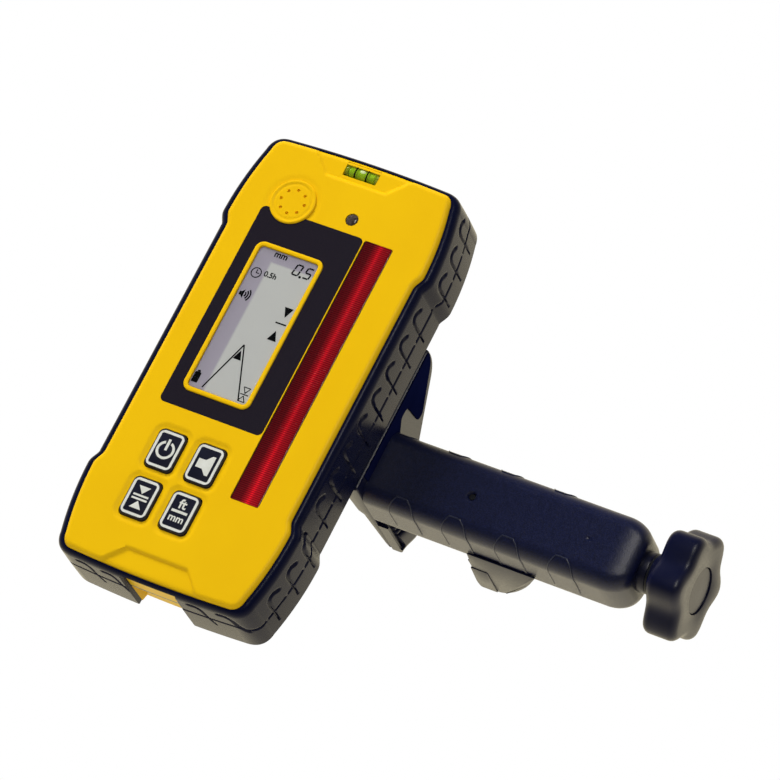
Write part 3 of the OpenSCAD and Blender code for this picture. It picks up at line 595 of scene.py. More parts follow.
# Name, two colours, range of roughness, sizes of clouds and grain in mm, and bump
finish("yellow_plastic", "F1BE00", "F4C200", (0.34, 0.44), 30, 0.5, 0.08, Specular_IOR_Level=0.12)
finish("black_rubber", "090D28", "0E122D", (0.22, 0.32), 9, 0.35, 0.18, Specular_IOR_Level=0.1)
finish("black_plastic", "04092B", "080D2F", (0.3, 0.42), 11, 0.4, 0.2, Specular_IOR_Level=0.37)
# The grip's fine lighter speckle is painted glints of light on its rough front
finish("grip_plastic", "040929", "151C42", (0.3, 0.42), 0.42, 0.3, 0.7, Specular_IOR_Level=0.5)
# Raised petal lines: real beads whose lighter colour also paints the highlight on their edges
finish("lit_grip_line", "23273C", "2C3044", (0.3, 0.4), 4, 0.3, 0.1)
# Matte black of the thin sheet on the fin, which paints the fin's shade
finish("shade_black", "0C1133", "10153A", (0.7, 0.85), 8, 0.4, 0.3, Specular_IOR_Level=0.0)
finish("dark_steel", "101218", "1C1E24", (0.4, 0.5), 2, 0.3, 0.1, Specular_IOR_Level=0.3)
finish("dark_panel", "171222", "241D25", (0.3, 0.42), 0.5, 0.25, 0.1)
finish("clear_lens", "20242A", "2A2E34", (0.04, 0.1), 20, 2, Alpha=0.05)
finish("display", "8F8995", "97919C", (0.3, 0.4), 12, 0.3)
surface("display_glass", display_paint, (0.3, 0.42), 0.3)
finish("display_ink", "030304", "060607", (0.4, 0.5), 4, 0.3, Specular_IOR_Level=0.1)
surface("red_filter", window_paint, (0.12, 0.2), 0.8)
finish("sensor_black", "101014", "1A1A20", (0.2, 0.3), 3, 0.4)
finish("circuit_board", "0B4A24", "136030", (0.35, 0.5), 2.5, 0.4, 0.2)
finish("silicone", "6A6C6E", "787A7C", (0.5, 0.6), 6, 0.5, 0.2)
finish("key_rubber", "0F1126", "14172C", (0.4, 0.5), 5, 0.3, 0.2)
finish("print_white", "D8D9CE", "E2E3DA", (0.45, 0.55), 3, 0.25)
finish("lamp_dark", "2A2320", "5A504A", (0.08, 0.16), 0.9, 0.5, 0.3)
finish("vial_clear", "9CC024", "A8CA30", (0.04, 0.08), 5, 1, Alpha=0.12)
finish("vial_green", "86B416", "A9CF26", (0.08, 0.16), 2.2, 0.5)
finish("vial_plug", "86861C", "9A9A2A", (0.2, 0.3), 2, 0.5)
finish("vial_bubble", "D4EA9A", "E6F4C0", (0.05, 0.1), 1.5, 0.5)
finish("cell_wrap", "3E5A78", "486688", (0.25, 0.35), 6, 0.5)
finish("nickel", "A8A69C", "BEBCB2", (0.22, 0.34), 2, 0.3, 0.1, Metallic=1.0)
finish("steel", "8C8E92", "A4A6AA", (0.24, 0.38), 2, 0.3, 0.12, Metallic=1.0)
finish("brass", "B08A3A", "C69E4A", (0.24, 0.36), 2, 0.3, 0.12, Metallic=1.0)


# Receiver: shells and boot

CASE = case_loop(720)
FACE_PITCH = 0.65
# Dishes round the keys, a halo round the speaker, and the groove and dish of its disc
DISH_D = 0.45
DISH_REACH = 2.6
HALO_D = 0.18
HALO_R = 11.0
SLOPE_L = 1.6
DISC_GROOVE_R = 6.9
DISC_GROOVE_D = 0.28
DISC_DISH_D = 0.12


def key_mid(node):
    """Middle of a key on the face."""
    return on_face(node)[0][XZ]


def rect_gap(points, mid, w, h, r):
    """Distance of points outside a round-cornered rectangle."""
    d = np.abs(points - mid) - [w / 2 - r, h / 2 - r]
    return np.linalg.norm(np.maximum(d, 0), axis=1) - r


def face_depth(points):
    """Depth of the front face: end recesses, dishes round the keys and a halo round the speaker."""
    x, z = np.abs(points[:, 0]), np.abs(points[:, 1])
    slope = (RECESS_W - RECESS_IN_W) / 2 / RECESS_L
    end = z - (CASE_TOP - RECESS_L)
    side = RECESS_IN_W / 2 + np.clip(end, 0, None) * slope - x
    depth = RECESS_D * smooth_step(np.minimum(side * 0.7, end) / RECESS_SOFT + 0.5)
    for node in KEYS:
        gap = rect_gap(points, key_mid(node), KEY_W, KEY_H, KEY_R)
        depth = np.maximum(depth, DISH_D * smooth_step((DISH_REACH - gap) / SLOPE_L))
    ring = np.linalg.norm(points - SPEAKER, axis=1)
    return np.maximum(depth, HALO_D * smooth_step((HALO_R - ring) / SLOPE_L))


def disc_depth(points):
    """Depth of the speaker disc's front: a groove near its rim and a shallow dish inside it."""
    ring = np.linalg.norm(points - SPEAKER, axis=1)
    groove = DISC_GROOVE_D * smooth_step((0.7 - np.abs(ring - DISC_GROOVE_R)) / 0.5)
    return np.maximum(groove, DISC_DISH_D * smooth_step((DISC_GROOVE_R - ring) / 0.4))


def in_notch(loop):
    """Which points of an outline lie in the finger notch."""
    return (np.abs(loop[:, 0]) < NOTCH_W / 2) & (loop[:, 1] < 0)


def scooped(scoop):
    """The case's outline, let in by scoop at the finger notch."""
    outer = CASE.copy()
    outer[in_notch(outer), 1] += scoop
    return outer


def skirt(y0, y1, scoop):
    """Side wall of a shell between two depths, let in at the bottom by scoop."""
    outer = scooped(scoop)
    inner = CASE - normals(CASE) * (WALL + scoop)
    rings = [at_depth(outer, y0), at_depth(outer, y1), at_depth(inner, y1), at_depth(inner, y0)]
    return loft(rings, wrap=True)


def front_shell():
    """Yellow front: face with its openings, side wall and speaker disc."""
    window = round_rect(WINDOW_W + 2 * FIT, WINDOW_H + 2 * FIT, WINDOW_R, WINDOW_MID[XZ], 4)
    holes = [split_edges(panel_loop(FIT), 1.5), split_edges(window, 1.5)]
    for node in KEYS:
        key = round_rect(KEY_W + 2 * KEY_GAP, KEY_H + 2 * KEY_GAP, KEY_R, key_mid(node))
        holes.append(split_edges(key, 1))
    holes.append(circle(LAMP_R + FIT, LAMP_MID[XZ], 24))
    holes.append(split_edges(round_rect(VIAL_OPEN, VIAL_SIZE[2], 0.3, VIAL_MID[XZ], 3), 0.8))
    face = plate(CASE, holes, WALL, FACE_PITCH, face_depth, EDGE_R)
    sound = [circle(SOUND_R, SPEAKER + SOUND_RING * way, 12) for way in circle(1, steps=8)]
    disc = plate(circle(SPEAKER_R, SPEAKER, 96), sound, SPEAKER_PROUD + WALL, pitch=0.4, depth=disc_depth,
                 fillet=0.5)
    shape = join(face, skirt(WALL, SPLIT, 0), moved(disc, (0, -SPEAKER_PROUD, 0)))
    receiver_piece("front_shell_skin", shape, "yellow_plastic", "front_shell")


def sound_gauze():
    """Dark gauze behind the holes of the speaker disc."""
    levels = [(0.2, 0), (0, 0.1), (0, GAUZE_T - 0.1), (0.2, GAUZE_T)]
    shape = stack(lambda inset: circle(GAUZE_R - inset, SPEAKER), levels)
    receiver_piece("sound_gauze", moved(shape, (0, WALL + SPEAKER_PROUD * 0.3, 0)), "sensor_black")


# Hooks of the boot: place along the case, depth and half width
SIDE_HOOK = smooth_path([(5.7, 8.3, 0.72), (2.9, 6.5, 0.82), (0.5, 7.7, 0.74), (0, 11.6, 0.52),
                         (0, 16.4, 0.42), (-0.1, 21.8, 0.3)])
END_HOOK = smooth_path([(-5.2, 5.6, 0.7), (-2.2, 5.4, 0.8), (-0.2, 7.2, 0.66), (0.8, 11, 0.5),
                        (2.8, 16.5, 0.34)])
SIDE_HOOKS = (73.0, 62.8, 52.5, 36.9, 26.2, 15.5, 4.8, -5.9, -16.6, -27.3, -38, -52.5, -63, -73.5)
END_HOOKS = (-24, -13.6, 20.7, 32.2)
HOOK_REACH = 9
BULGE_SINK = 1.2
# Line round the boot: its depth on the sides and ends, and the place of its breaks beside the side hooks
SIDE_MID = 16.5
END_MID = 12
BREAK_AT = 3.6
BREAK_W = 1.0


def stroke_depth(depth, along, y, path):
    """Deepens a grid by a groove along a path of places and half widths."""
    for (a0, y0, w0), (a1, y1, w1) in zip(path, path[1:]):
        da, dy = a1 - a0, y1 - y0
        t = np.clip(((along - a0) * da + (y - y0) * dy) / (da * da + dy * dy), 0, 1)
        away = np.hypot(along - a0 - t * da, y - y0 - t * dy) / (w0 + t * (w1 - w0))
        np.maximum(depth, GROOVE_D * smooth_step((1.3 - away) / 0.9), out=depth)


def boot_grooves(loop, out, y):
    """Depth of the grooves for each row and column of the boot's wall."""
    depth = np.zeros((len(y), len(loop)))
    broken = np.zeros(len(loop), bool)
    sides = [(1, z, side, SIDE_HOOK) for z in SIDE_HOOKS for side in (-1, 1)]
    ends = [(0, x, side, END_HOOK) for x in END_HOOKS for side in (-1, 1)]
    for axis, spot, side, path in sides + ends:
        away = loop[:, axis] - spot
        cols = np.where((side * out[:, 1 - axis] > 0.7) & (np.abs(away) < HOOK_REACH))[0]
        part = depth[:, cols]
        sink = BULGE_SINK if abs(spot) > STEP_Z else 0
        stroke_depth(part, away[None, cols], y[:, None] - sink, path)
        depth[:, cols] = part
        broken[cols] |= (np.abs(away[cols] + BREAK_AT) < BREAK_W / 2) & (axis == 1)
    mid = SIDE_MID * out[:, 0] ** 2 + END_MID * out[:, 1] ** 2
    line = GROOVE_D * 0.8 * smooth_step((0.62 - np.abs(y[:, None] - mid[None, :])) / 0.42)
    return np.maximum(depth, np.where(broken[None, :], 0, line))


def boot_profile():
    """Section of the boot: shares of its thickness, and depths, once round."""
    front, back = BOOT_FRONT, BOOT_BACK
    turn = np.radians(np.arange(0, 90, 11.25))
    rim = [(max(SKIN, math.sin(a)), front + RIM_L * (1 - math.cos(a))) for a in turn]
    wall = [(1.0, y) for y in np.arange(front + RIM_L, back - 0.9, BOOT_PITCH)]
    tail = [(1.0, back - 0.53), (1.0, back - 0.5), (0.9, back - 0.22), (0.75, back - 0.05), (0.55, back),
            (SKIN, back)]
    return np.array(rim + wall + tail + [(SKIN, (front + back) / 2)]).T


def rubber_boot():
    """Grooved boot round the case, with the finger notch in its bottom end."""
    loop = case_loop(BOOT_COLUMNS)
    out = normals(loop)
    thick = BOOT_SIDE_T * out[:, 0] ** 2 + BOOT_END_T * out[:, 1] ** 2
    u, y = boot_profile()
    depth = boot_grooves(loop, out, y)
    depth[u < 0.99, :] = 0
    slim = LIP_IN * np.clip(1 - (y - BOOT_FRONT) / LIP_L, -0.4, 1) ** 2
    offset = (u * (1 - slim))[:, None] * thick[None, :] - depth
    deep = np.repeat(y[:, None], len(loop), axis=1)
    over = in_notch(loop)[None, :] & (deep > NOTCH_RIM)
    deep[over] = NOTCH_RIM
    offset[over] = SKIN
    rings = np.stack([loop[None, :, 0] + offset * out[None, :, 0], deep,
                      loop[None, :, 1] + offset * out[None, :, 1]], axis=2)
    receiver_piece("rubber_boot_skin", loft(rings, wrap=True), "black_rubber", "rubber_boot", sharp=50)


CASE_SCREW_R = 2.2
HEAD_GAP = 0.3
BAY_W = 30.2
BAY_FLOOR = 10.3


def corners(lo, hi, edge):
    """The four corners of a box in X and Z, let in by edge."""
    return [np.array([x, z]) for x in (lo[0] + edge, hi[0] - edge) for z in (lo[2] + edge, hi[2] - edge)]


def battery_bay():
    """Tub that holds the cells, open at the back."""
    mid, size = on_face("battery_contacts")
    w, h = BAY_W + 2 * BAY_WALL, size[2] + 2 * BAY_WALL
    outer = round_rect(w, h, 0.6, mid[XZ], 3)
    inner = round_rect(w - 2 * BAY_WALL, h - 2 * BAY_WALL, 0.4, mid[XZ], 3)
    back = CASE_D - WALL - 0.3
    return loft([at_depth(inner, BAY_FLOOR + BAY_WALL), at_depth(inner, back), at_depth(outer, back),
                 at_depth(outer, BAY_FLOOR)])


def rear_shell():
    """Yellow back: wall with the door's opening and screw holes, side wall and battery bay."""
    door = round_rect(DOOR_SIZE[0] + 2 * DOOR_GAP, DOOR_SIZE[2] + 2 * DOOR_GAP, 0.4, DOOR_MID[XZ], 3)
    lo, hi = (corner - ORIGIN for corner in mm_box("case_screws"))
    holes = [circle(CASE_SCREW_R + HEAD_GAP, spot, 24) for spot in corners(lo, hi, CASE_SCREW_R)]
    holes.insert(0, split_edges(door, 2))
    wall = facing_back(plate(scooped(SCOOP), holes, WALL, fillet=1.6), CASE_D)
    shape = join(wall, skirt(REAR_Y, CASE_D - WALL, SCOOP), battery_bay())
    receiver_piece("rear_shell_skin", shape, "yellow_plastic", "rear_shell")


KNUCKLE_R = 1.8
# Finger ribs of the door: count, step, half length of the first, half width and how far they stand out
DOOR_RIBS = 5
DOOR_RIB_STEP = 2
DOOR_RIB_L = 8
DOOR_RIB = 0.45
DOOR_RIB_PROUD = 0.5


def battery_door():
    """Door with a rounded edge, finger ribs and a hinge knuckle."""
    low, high = DOOR_MID[2] - DOOR_SIZE[2] / 2, DOOR_MID[2] + DOOR_SIZE[2] / 2
    hinge_z = high - KNUCKLE_R
    loop = inset_rect(DOOR_SIZE[0], hinge_z - low, 1.2, (DOOR_MID[0], (low + hinge_z) / 2), 5)
    leaf = stack(loop, [(0, CASE_D - 2.4), (0, CASE_D - 0.5), (0.15, CASE_D - 0.15), (0.5, CASE_D)])
    half = DOOR_SIZE[0] / 2
    hinge = (DOOR_MID[0], CASE_D - KNUCKLE_R, hinge_z)
    knuckle = lathe([(KNUCKLE_R, -half), (KNUCKLE_R, half)], hinge, "x")
    ribs = []
    for k in range(DOOR_RIBS):
        reach, z = DOOR_RIB_L - k * 0.8, low + 5 + DOOR_RIB_STEP * k
        ribs.append(soft_box((-reach, CASE_D - 0.4, z - DOOR_RIB),
                             (reach, CASE_D + DOOR_RIB_PROUD, z + DOOR_RIB), 0.3))
    shape = join(leaf, knuckle, *ribs)
    receiver_piece("battery_door_skin", shape, "yellow_plastic", "battery_door", body="door")


# Receiver: panel, screen, window and keys

def display_panel():
    """Dark panel with the screen frame's opening."""
    opening = round_rect(FRAME_SIZE[0] + 2 * FIT, FRAME_SIZE[2] + 2 * FIT, FRAME_R, FRAME_MID[XZ])
    shape = prism([panel_loop(0), opening], 0, PANEL_SIZE[1])
    receiver_piece("display_panel_film", shape, "dark_panel", "display_panel")


def screen_frame():
    """Raised yellow frame with rounded inner and outer edges."""
    top = -FRAME_PROUD
    outer = [(0, WALL), (0, top + 0.45), (0.12, top + 0.14), (0.45, top)]
    inner = [(FRAME_BAND - inset, y) for inset, y in outer[::-1]]
    loop = inset_rect(FRAME_SIZE[0], FRAME_SIZE[2], FRAME_R, FRAME_MID[XZ], least=0.5)
    receiver_piece("screen_frame_bezel", stack(loop, outer + inner, wrap=True), "yellow_plastic",
                   "screen_frame")


def stroke(points, width):
    """Loops of straight strokes through points."""
    loops = []
    for a, b in zip(points, points[1:]):
        a, b = np.array(a, float), np.array(b, float)
        d = (b - a) / np.linalg.norm(b - a)
        n = np.array([d[1], -d[0]]) * width / 2
        loops.append(np.array([a + n, b + n, b - n, a - n]))
    return loops


def arc(mid, r, start, end, width, steps=16):
    """Loop of part of a ring between two angles in degrees."""
    a = np.radians(np.linspace(start, end, steps))
    way = np.column_stack([np.cos(a), np.sin(a)])
    return np.array(mid) + np.vstack([(r + width / 2) * way, (r - width / 2) * way[::-1]])


def lettering(body, size, mid, y, thick):
    """Shape of plain letters about mid, standing on depth y."""
    curve = bpy.data.curves.new(body, "FONT")
    curve.body = body
    curve.size = size
    curve.extrude = thick / 2
    curve.offset = size * 0.022
    curve.align_x = "CENTER"
    curve.align_y = "CENTER"
    curve.resolution_u = 4
    text = linked(body, curve)
    mesh = text.to_mesh()
    points = np.array([v.co[:] for v in mesh.vertices])
    faces = [tuple(p.vertices) for p in mesh.polygons]
    text.to_mesh_clear()
    bpy.data.objects.remove(text)
    bpy.data.curves.remove(curve)
    return np.column_stack([points[:, 0] + mid[0], y - points[:, 2], points[:, 1] + mid[1]]), faces


def printed(loops, y):
    """Thin closed shapes of printed loops standing on depth y."""
    return join(*[prism([loop], y - PRINT_T, y) for loop in loops])


# Bars of a seven-segment digit, as pairs of places across and up it, and the bars of each digit shown
BARS = {"a": ((0.06, 1), (0.94, 1)), "b": ((1, 0.98), (1, 0.53)), "c": ((1, 0.47), (1, 0.02)),
        "d": ((0.06, 0), (0.94, 0)), "e": ((0, 0.02), (0, 0.47)), "f": ((0, 0.53), (0, 0.98)),
        "g": ((0.06, 0.5), (0.94, 0.5))}
DIGIT_BARS = {"0": "abcdef", "5": "afgcd"}
DIGIT_W, DIGIT_H, DIGIT_LEAN, DIGIT_BAR = 2.3, 4.0, 0.18, 0.58


def digit(sign, left, low):
    """Loops of a leaning seven-segment digit."""
    def at(u, v):
        return left + u * DIGIT_W + v * DIGIT_H * DIGIT_LEAN, low + v * DIGIT_H
    return [loop for bar in DIGIT_BARS[sign] for loop in stroke([at(*end) for end in BARS[bar]], DIGIT_BAR)]


def triangle(mid, w, h):
    """Loop of a triangle with its point up, or down where h is negative."""
    loop = np.array(mid) + [(-w / 2, -h / 2), (w / 2, -h / 2), (0, h / 2)]
    return loop if h > 0 else loop[::-1]


def display_signs():
    """Loops of the display's signs, drawn on the face."""
    # Digits with a dot, then a clock
    loops = digit("0", -5.6, 36.6) + digit("5", -1.3, 36.6)
    loops.append(circle(0.5, (-2.2, 36.4), 10))
    loops.append(arc((-17.9, 32.8), 1.85, 0, 359, 0.36, 40))
    loops += stroke([(-17.9, 34.1), (-17.9, 32.7)], 0.32) + stroke([(-18.0, 32.75), (-16.7, 32.75)], 0.32)
    # Speaker with three waves
    speaker = [(-20.1, 23.2), (-19.3, 23.2), (-18.4, 22.2), (-18.4, 25.6), (-19.3, 24.6), (-20.1, 24.6)]
    loops.append(np.array(speaker))
    loops += [arc((-18.8, 23.9), r, -44, 44, 0.52) for r in (1.2, 2.1, 3.0)]
    # Level line between two arrows
    loops += stroke([(-2.3, 18.0), (1.9, 18.0)], 0.55)
    loops += [triangle((0.0, 22.5), 3.5, -3.9), triangle((-0.5, 13.1), 3.5, 3.9)]
    # Two slanting lines with an arrow between them, then a battery
    tip = (-8.8, 6.4)
    loops += stroke([tip, (-15.6, -13.2)], 0.5) + stroke([tip, (-0.9, -13.4)], 0.5)
    loops.append(triangle((-8.8, 2.3), 3.2, 3.6))
    loops.append(round_rect(2.4, 4.0, 0.3, (-19.4, -10.4), 3))
    loops.append(round_rect(1.2, 0.7, 0.2, (-19.4, -8.0), 3))
    # Two triangles, point to point across a line
    x, z = 0.1, -10.6
    for s in (-1, 1):
        left, right, point = (x - 1.35, z + s * 2.7), (x + 1.35, z + s * 2.7), (x, z + s * 0.55)
        loops += stroke([left, right, point, left], 0.3)
    return loops + stroke([(x - 1.6, z), (x + 1.6, z)], 0.34)


def screen():
    """Display module with its glass, signs and clear cover."""
    mid, size = on_face("screen_module")
    lo, hi = mid - size / 2, mid + size / 2
    base = soft_box((lo[0], LCD_Y + 0.35, lo[2]), (hi[0], LCD_Y + size[1], hi[2]), 0.3)
    receiver_piece("screen_module_body", base, "display", "screen_module")
    w, h = FRAME_SIZE[0] - 2 * FRAME_BAND, FRAME_SIZE[2] - 2 * FRAME_BAND
    loop = inset_rect(w, h, FRAME_R - FRAME_BAND, FRAME_MID[XZ], 6)
    glass = stack(loop, [(FIT, LCD_Y + 0.3), (FIT, GLASS_Y + 0.1), (0.2, GLASS_Y), (0.5, GLASS_Y)])
    receiver_piece("screen_glass", glass, "display_glass", slot="display")
    signs = join(printed(display_signs(), GLASS_Y), lettering("mm", 3.4, (-12.3, 41.6), GLASS_Y, 0.1),
                 lettering("0.5h", 2.9, (-12.5, 33.4), GLASS_Y, 0.1))
    receiver_piece("screen_signs", signs, "display_ink", slot="display")
    cover = stack(loop, [(FIT, GLASS_Y - 0.07), (FIT, COVER_Y + 0.12), (0.25, COVER_Y), (0.6, COVER_Y)])
    receiver_piece("screen_cover", cover, "clear_lens", "screen_lens")


def beam_window():
    """Red window with fine ribs across it."""
    mid = WINDOW_MID[XZ]
    count = int(WINDOW_H / WINDOW_RIB) * 4
    rings = []
    for k in range(count + 1):
        z = -WINDOW_H / 2 + WINDOW_H * k / count
        end = max(0.0, abs(z) - WINDOW_H / 2 + WINDOW_R)
        half = WINDOW_W / 2 - WINDOW_R + math.sqrt(WINDOW_R ** 2 - end ** 2)
        wave = WINDOW_RIB_D * (1 - math.cos(2 * math.pi * z / WINDOW_RIB)) / 2
        left = [(-half, 1.6), (-half, 0.3), (-half + 0.25, 0.05), (-half + 0.8, 0.02 + wave)]
        edge = left + [(0, wave)] + [(-x, y) for x, y in left[::-1]]
        rings.append([(mid[0] + x, y, mid[1] + z) for x, y in edge])
    flange = prism([round_rect(WINDOW_SIZE[0], WINDOW_SIZE[2], 1, mid, 4)], WALL, WALL + 1)
    receiver_piece("beam_window_filter", join(loft(rings), flange), "red_filter", "beam_window", sharp=60)


def key_signs(node, mid):
    """Shapes of a key's printed sign."""
    x, z = mid
    if node == "key_power":
        loops = [arc(mid, 3.0, 112, 428, 0.95, 40)] + stroke([(x, z + 4.2), (x, z - 0.1)], 1.0)
        return [printed(loops, KEY_TOP)]
    if node == "key_volume":
        half = np.array([(-2.9, -1.7), (-0.2, -1.7), (1.7, -3.7), (2.9, -3.7)])
        return [printed([np.vstack([half, half[::-1] * [1, -1]]) + mid], KEY_TOP)]
    if node == "key_precision":
        loops = [triangle((x, z + 2.8), 4.6, -2.9), triangle((x, z - 2.8), 4.6, 2.9)]
        for s in (-1, 1):
            loops += stroke([(x - 3, z + s * 0.68), (x + 3, z + s * 0.68)], 0.7)
        return [printed(loops, KEY_TOP)]
    bar = printed(stroke([(x - 3.1, z + 0.1), (x + 3.1, z + 0.1)], 0.95), KEY_TOP)
    return [bar, lettering("ft", 4.9, (x, z + 2.9), KEY_TOP - 0.02, 0.06),
            lettering("mm", 3.9, (x, z - 2.5), KEY_TOP - 0.02, 0.06)]


def keys():
    """Four keys with a printed ring and sign each."""
    top = KEY_TOP
    for node, body in KEYS.items():
        mid = key_mid(node)
        cap = stack(inset_rect(KEY_W, KEY_H, KEY_R, mid, least=1.2),
                    [(0, WALL + 1.1), (0, top + 0.7), (0.09, top + 0.35), (0.3, top + 0.1), (0.6, top)])
        rim = round_rect(KEY_W + 2 * KEY_FLANGE, KEY_H + 2 * KEY_FLANGE, KEY_R, mid)
        flange = prism([rim], WALL + 0.05, WALL + 1.1)
        receiver_piece(node + "_cap", join(cap, flange), "key_rubber", node, body=body)
        outer = round_rect(PRINT_W, PRINT_H, 2.0, mid)
        inner = round_rect(PRINT_W - 2 * PRINT_BAND, PRINT_H - 2 * PRINT_BAND, 0.7, mid)
        sign = join(prism([outer, inner], top - PRINT_T, top), *key_signs(node, mid))
        receiver_piece(node + "_print", sign, "print_white", body=body, slot="key_rubber")


def lamp_lens():
    """Small dark domed lens."""
    base = -FRAME_PROUD
    profile = [(0.01, base)] + [(LAMP_R * math.sin(a), base + LAMP_RISE * (1 - math.cos(a)))
                                for a in np.linspace(0.15, math.pi / 2, 8)]
    profile += [(LAMP_R, WALL), (LAMP_R + 1, WALL), (LAMP_R + 1, WALL + 1)]
    receiver_piece("lamp_dome", lathe(profile, (LAMP_MID[0], 0, LAMP_MID[2])), "lamp_dark", "lamp_lens")


VIAL_RING_X = 2.3
BUBBLE_R, BUBBLE_HALF = 1.0, 1.6


def vial():
    """Level vial: green fluid in a clear tube, stoppers, two dark rings and a bubble."""
    tube_r = VIAL_SIZE[2] / 2
    r = tube_r - 0.7
    end = VIAL_OPEN / 2 - FIT
    half = end - 1.3
    fluid = [(r * 0.7, -half), (r, -half + 0.5), (r * 1.03, 0), (r, half - 0.5), (r * 0.7, half)]
    receiver_piece("vial_filling", lathe(fluid, VIAL_MID, "x"), "vial_green", "vial_fluid")
    tube = [(r + 0.1, -end), (tube_r - 0.2, -end), (tube_r, 0.2 - end), (tube_r, end - 0.2),
            (tube_r - 0.2, end), (r + 0.1, end)]
    receiver_piece("vial_glass", lathe(tube, VIAL_MID, "x", wrap=True), "vial_clear", "vial_tube")
    plugs, rings = [], []
    for s in (-1, 1):
        plug = [(r - 0.3, half + 0.1), (r, half + 0.3), (r, end - 0.2), (r - 0.2, end)]
        plugs.append(lathe([(radius, s * place) for radius, place in plug], VIAL_MID, "x"))
        section = circle(1, steps=8) * [0.1, 0.28] + [tube_r + 0.04, s * VIAL_RING_X]
        rings.append(lathe(section, VIAL_MID, "x", wrap=True))
    receiver_piece("vial_stoppers", join(*plugs), "vial_plug", "vial_plugs", slot="vial_green")
    receiver_piece("vial_rings", join(*rings), "display_ink", slot="vial_green")
    turns = np.linspace(0.05, math.pi - 0.05, 12)
    bubble = [(BUBBLE_R * math.sin(a), -BUBBLE_HALF * math.cos(a)) for a in turns]
    place = VIAL_MID + [0, -r * 0.62, r * 0.3]
    receiver_piece("vial_bubble", lathe(bubble, place, "x", 24), "vial_bubble", slot="vial_clear")


# Clamp

BRACKET_SCREW_R = 2.9
BRACKET_HOLE_R = 1.7


def screw_heads(name, node, r, height):
    """Round screw heads with a six-sided socket, facing back, at the corners of the node's box."""
    lo, hi = mm_box(node)
    y = hi[1]
    a = np.arange(36) * math.pi / 18
    flat = r * 0.5 / np.cos((a + math.pi / 6) % (math.pi / 3) - math.pi / 6)
    levels = ((r, y - height), (r, y - 0.3), (r - 0.3, y), (flat, y), (flat, y - height * 0.6))
    shapes = []
    for spot in corners(lo, hi, r):
        rings = [at_depth(spot + np.reshape(radius, (-1, 1)) * circle(1, steps=36), depth)
                 for radius, depth in levels]
        shapes.append(loft(rings))
    piece(name, join(*shapes), "steel", node)


def edge_steps(r):
    """Insets and drops of a rounded edge; the narrow first ring keeps the cap's shading flat."""
    return ((r + 0.06, 0), (r, 0), (r * 0.3, r * 0.3), (0, r))


def side_slab(loop, x0, x1, r, lean=None):
    """Closed slab of a loop in Y and Z between two faces, with rounded edges; lean moves the first face."""
    loop = even(loop, 220)
    out = normals(loop)
    rings = []
    for inset, t in edge_steps(r):
        p = loop - out * inset
        rings.append(at_x(p, x0 + t + (lean(p[:, 0]) if lean else 0)))
    rings += [at_x(loop - out * inset, x1 - t) for inset, t in edge_steps(r)[::-1]]
    return loft(rings)


FIN_OVER = 0.8
FIN_ROOT = 8
FIN_END_H = 10
FIN_T = 5.5
FIN_TAPER = 3.6
FIN_TIP_L = 3.5
FIN_TIP_R = 1.2
# Foot of the fin, which is thicker at the bracket
FOOT_OUT = 1.5
FOOT_Y = -9
FOOT_SOFT = 2.5
BRACKET_LOW = -11
BRACKET_T = 4.5
# Outline of the matte dark sheet on the upper part of the fin, which paints the fin's shade there, in Y and
# Z, with its corners' roundings
FIN_SHADE = [(-29.3, -8), (-19.3, -8), (-19.3, 13.9), (-24.5, 18.1), (-24.0, 22.5), (-11.2, 23.6),
           (-10.5, 26.8), (-25.0, 42.3), (-29.3, 42.4)]
FIN_SHADE_ROUND = [0.3, 0.3, 0.5, 1.5, 1.5, 1.2, 1.5, 4, 0.3]
FIN_SHADE_T = 0.45


def clamp_bracket():
    """Bracket plate and the fixed jaw's fin, which grows thinner towards its tip."""
    lo, hi = mm_box("clamp_bracket")
    low, top, root = lo[2], hi[2] + FIN_OVER, lo[1] + FIN_ROOT
    fin_x0 = hi[0] - FIN_T
    loop = soften([(lo[1], low), (hi[1], low), (hi[1], low + FIN_END_H), (root + 0.6, top), (lo[1], top)],
                  [0.6, 0.8, 3, 6, 1])
    def lean(y):
        taper = FIN_TAPER * np.clip((y - root) / (hi[1] - root), 0, 1)
        end = np.clip((y - hi[1] + FIN_TIP_L) / FIN_TIP_L, 0, 1)
        foot = FOOT_OUT * (1 - smooth_step((y - FOOT_Y) / FOOT_SOFT))
        return taper - foot + FIN_TIP_R * (1 - np.sqrt(1 - end ** 2))
    fin = side_slab(loop, fin_x0, hi[0], 0.9, lean)
    right = fin_x0 + 0.5
    wall = soften([(lo[0], BRACKET_LOW), (right, BRACKET_LOW), (right, hi[2]), (lo[0], hi[2])],
                  [6, 0.1, 0.1, 6])
    spots = corners(*mm_box("bracket_screws"), BRACKET_SCREW_R)
    holes = [circle(BRACKET_HOLE_R, spot, 24) for spot in spots]
    back = facing_back(plate(wall, holes, BRACKET_T, fillet=0.9), handle_lo[1])
    piece("clamp_bracket_body", join(fin, back), "black_plastic", "clamp_bracket")


def fin_shade_sheet():
    """Thin matte dark sheet on the fin above the handle, which paints the shade on the fin."""
    x = mm_box("clamp_bracket")[1][0]
    shape = side_slab(soften(FIN_SHADE, FIN_SHADE_ROUND), x - 0.1, x + FIN_SHADE_T, 0.2)
    piece("fin_shade_sheet", shape, "shade_black", slot="black_plastic")


RIB_PITCH = 3.4
RIB_GAP = 0.5
RIB_DIP = 0.9
RIB_SWELL_L = 8
INNER_RIB = 0.75
PAD_FOOT = 1.0
FOOT_REACH = 0.3
FIXED_TIP_Z, FIXED_BULGE, FIXED_PRONG = -5.4, 3.7, 11.5
MOVING_TIP_Z, MOVING_BULGE, MOVING_PRONG = -6.7, 1.4, 5.3
TIP_NOSE = 4.0
TIP_LOW = 0.35
SLIT = 0.8
SLIT_IN = 0.45


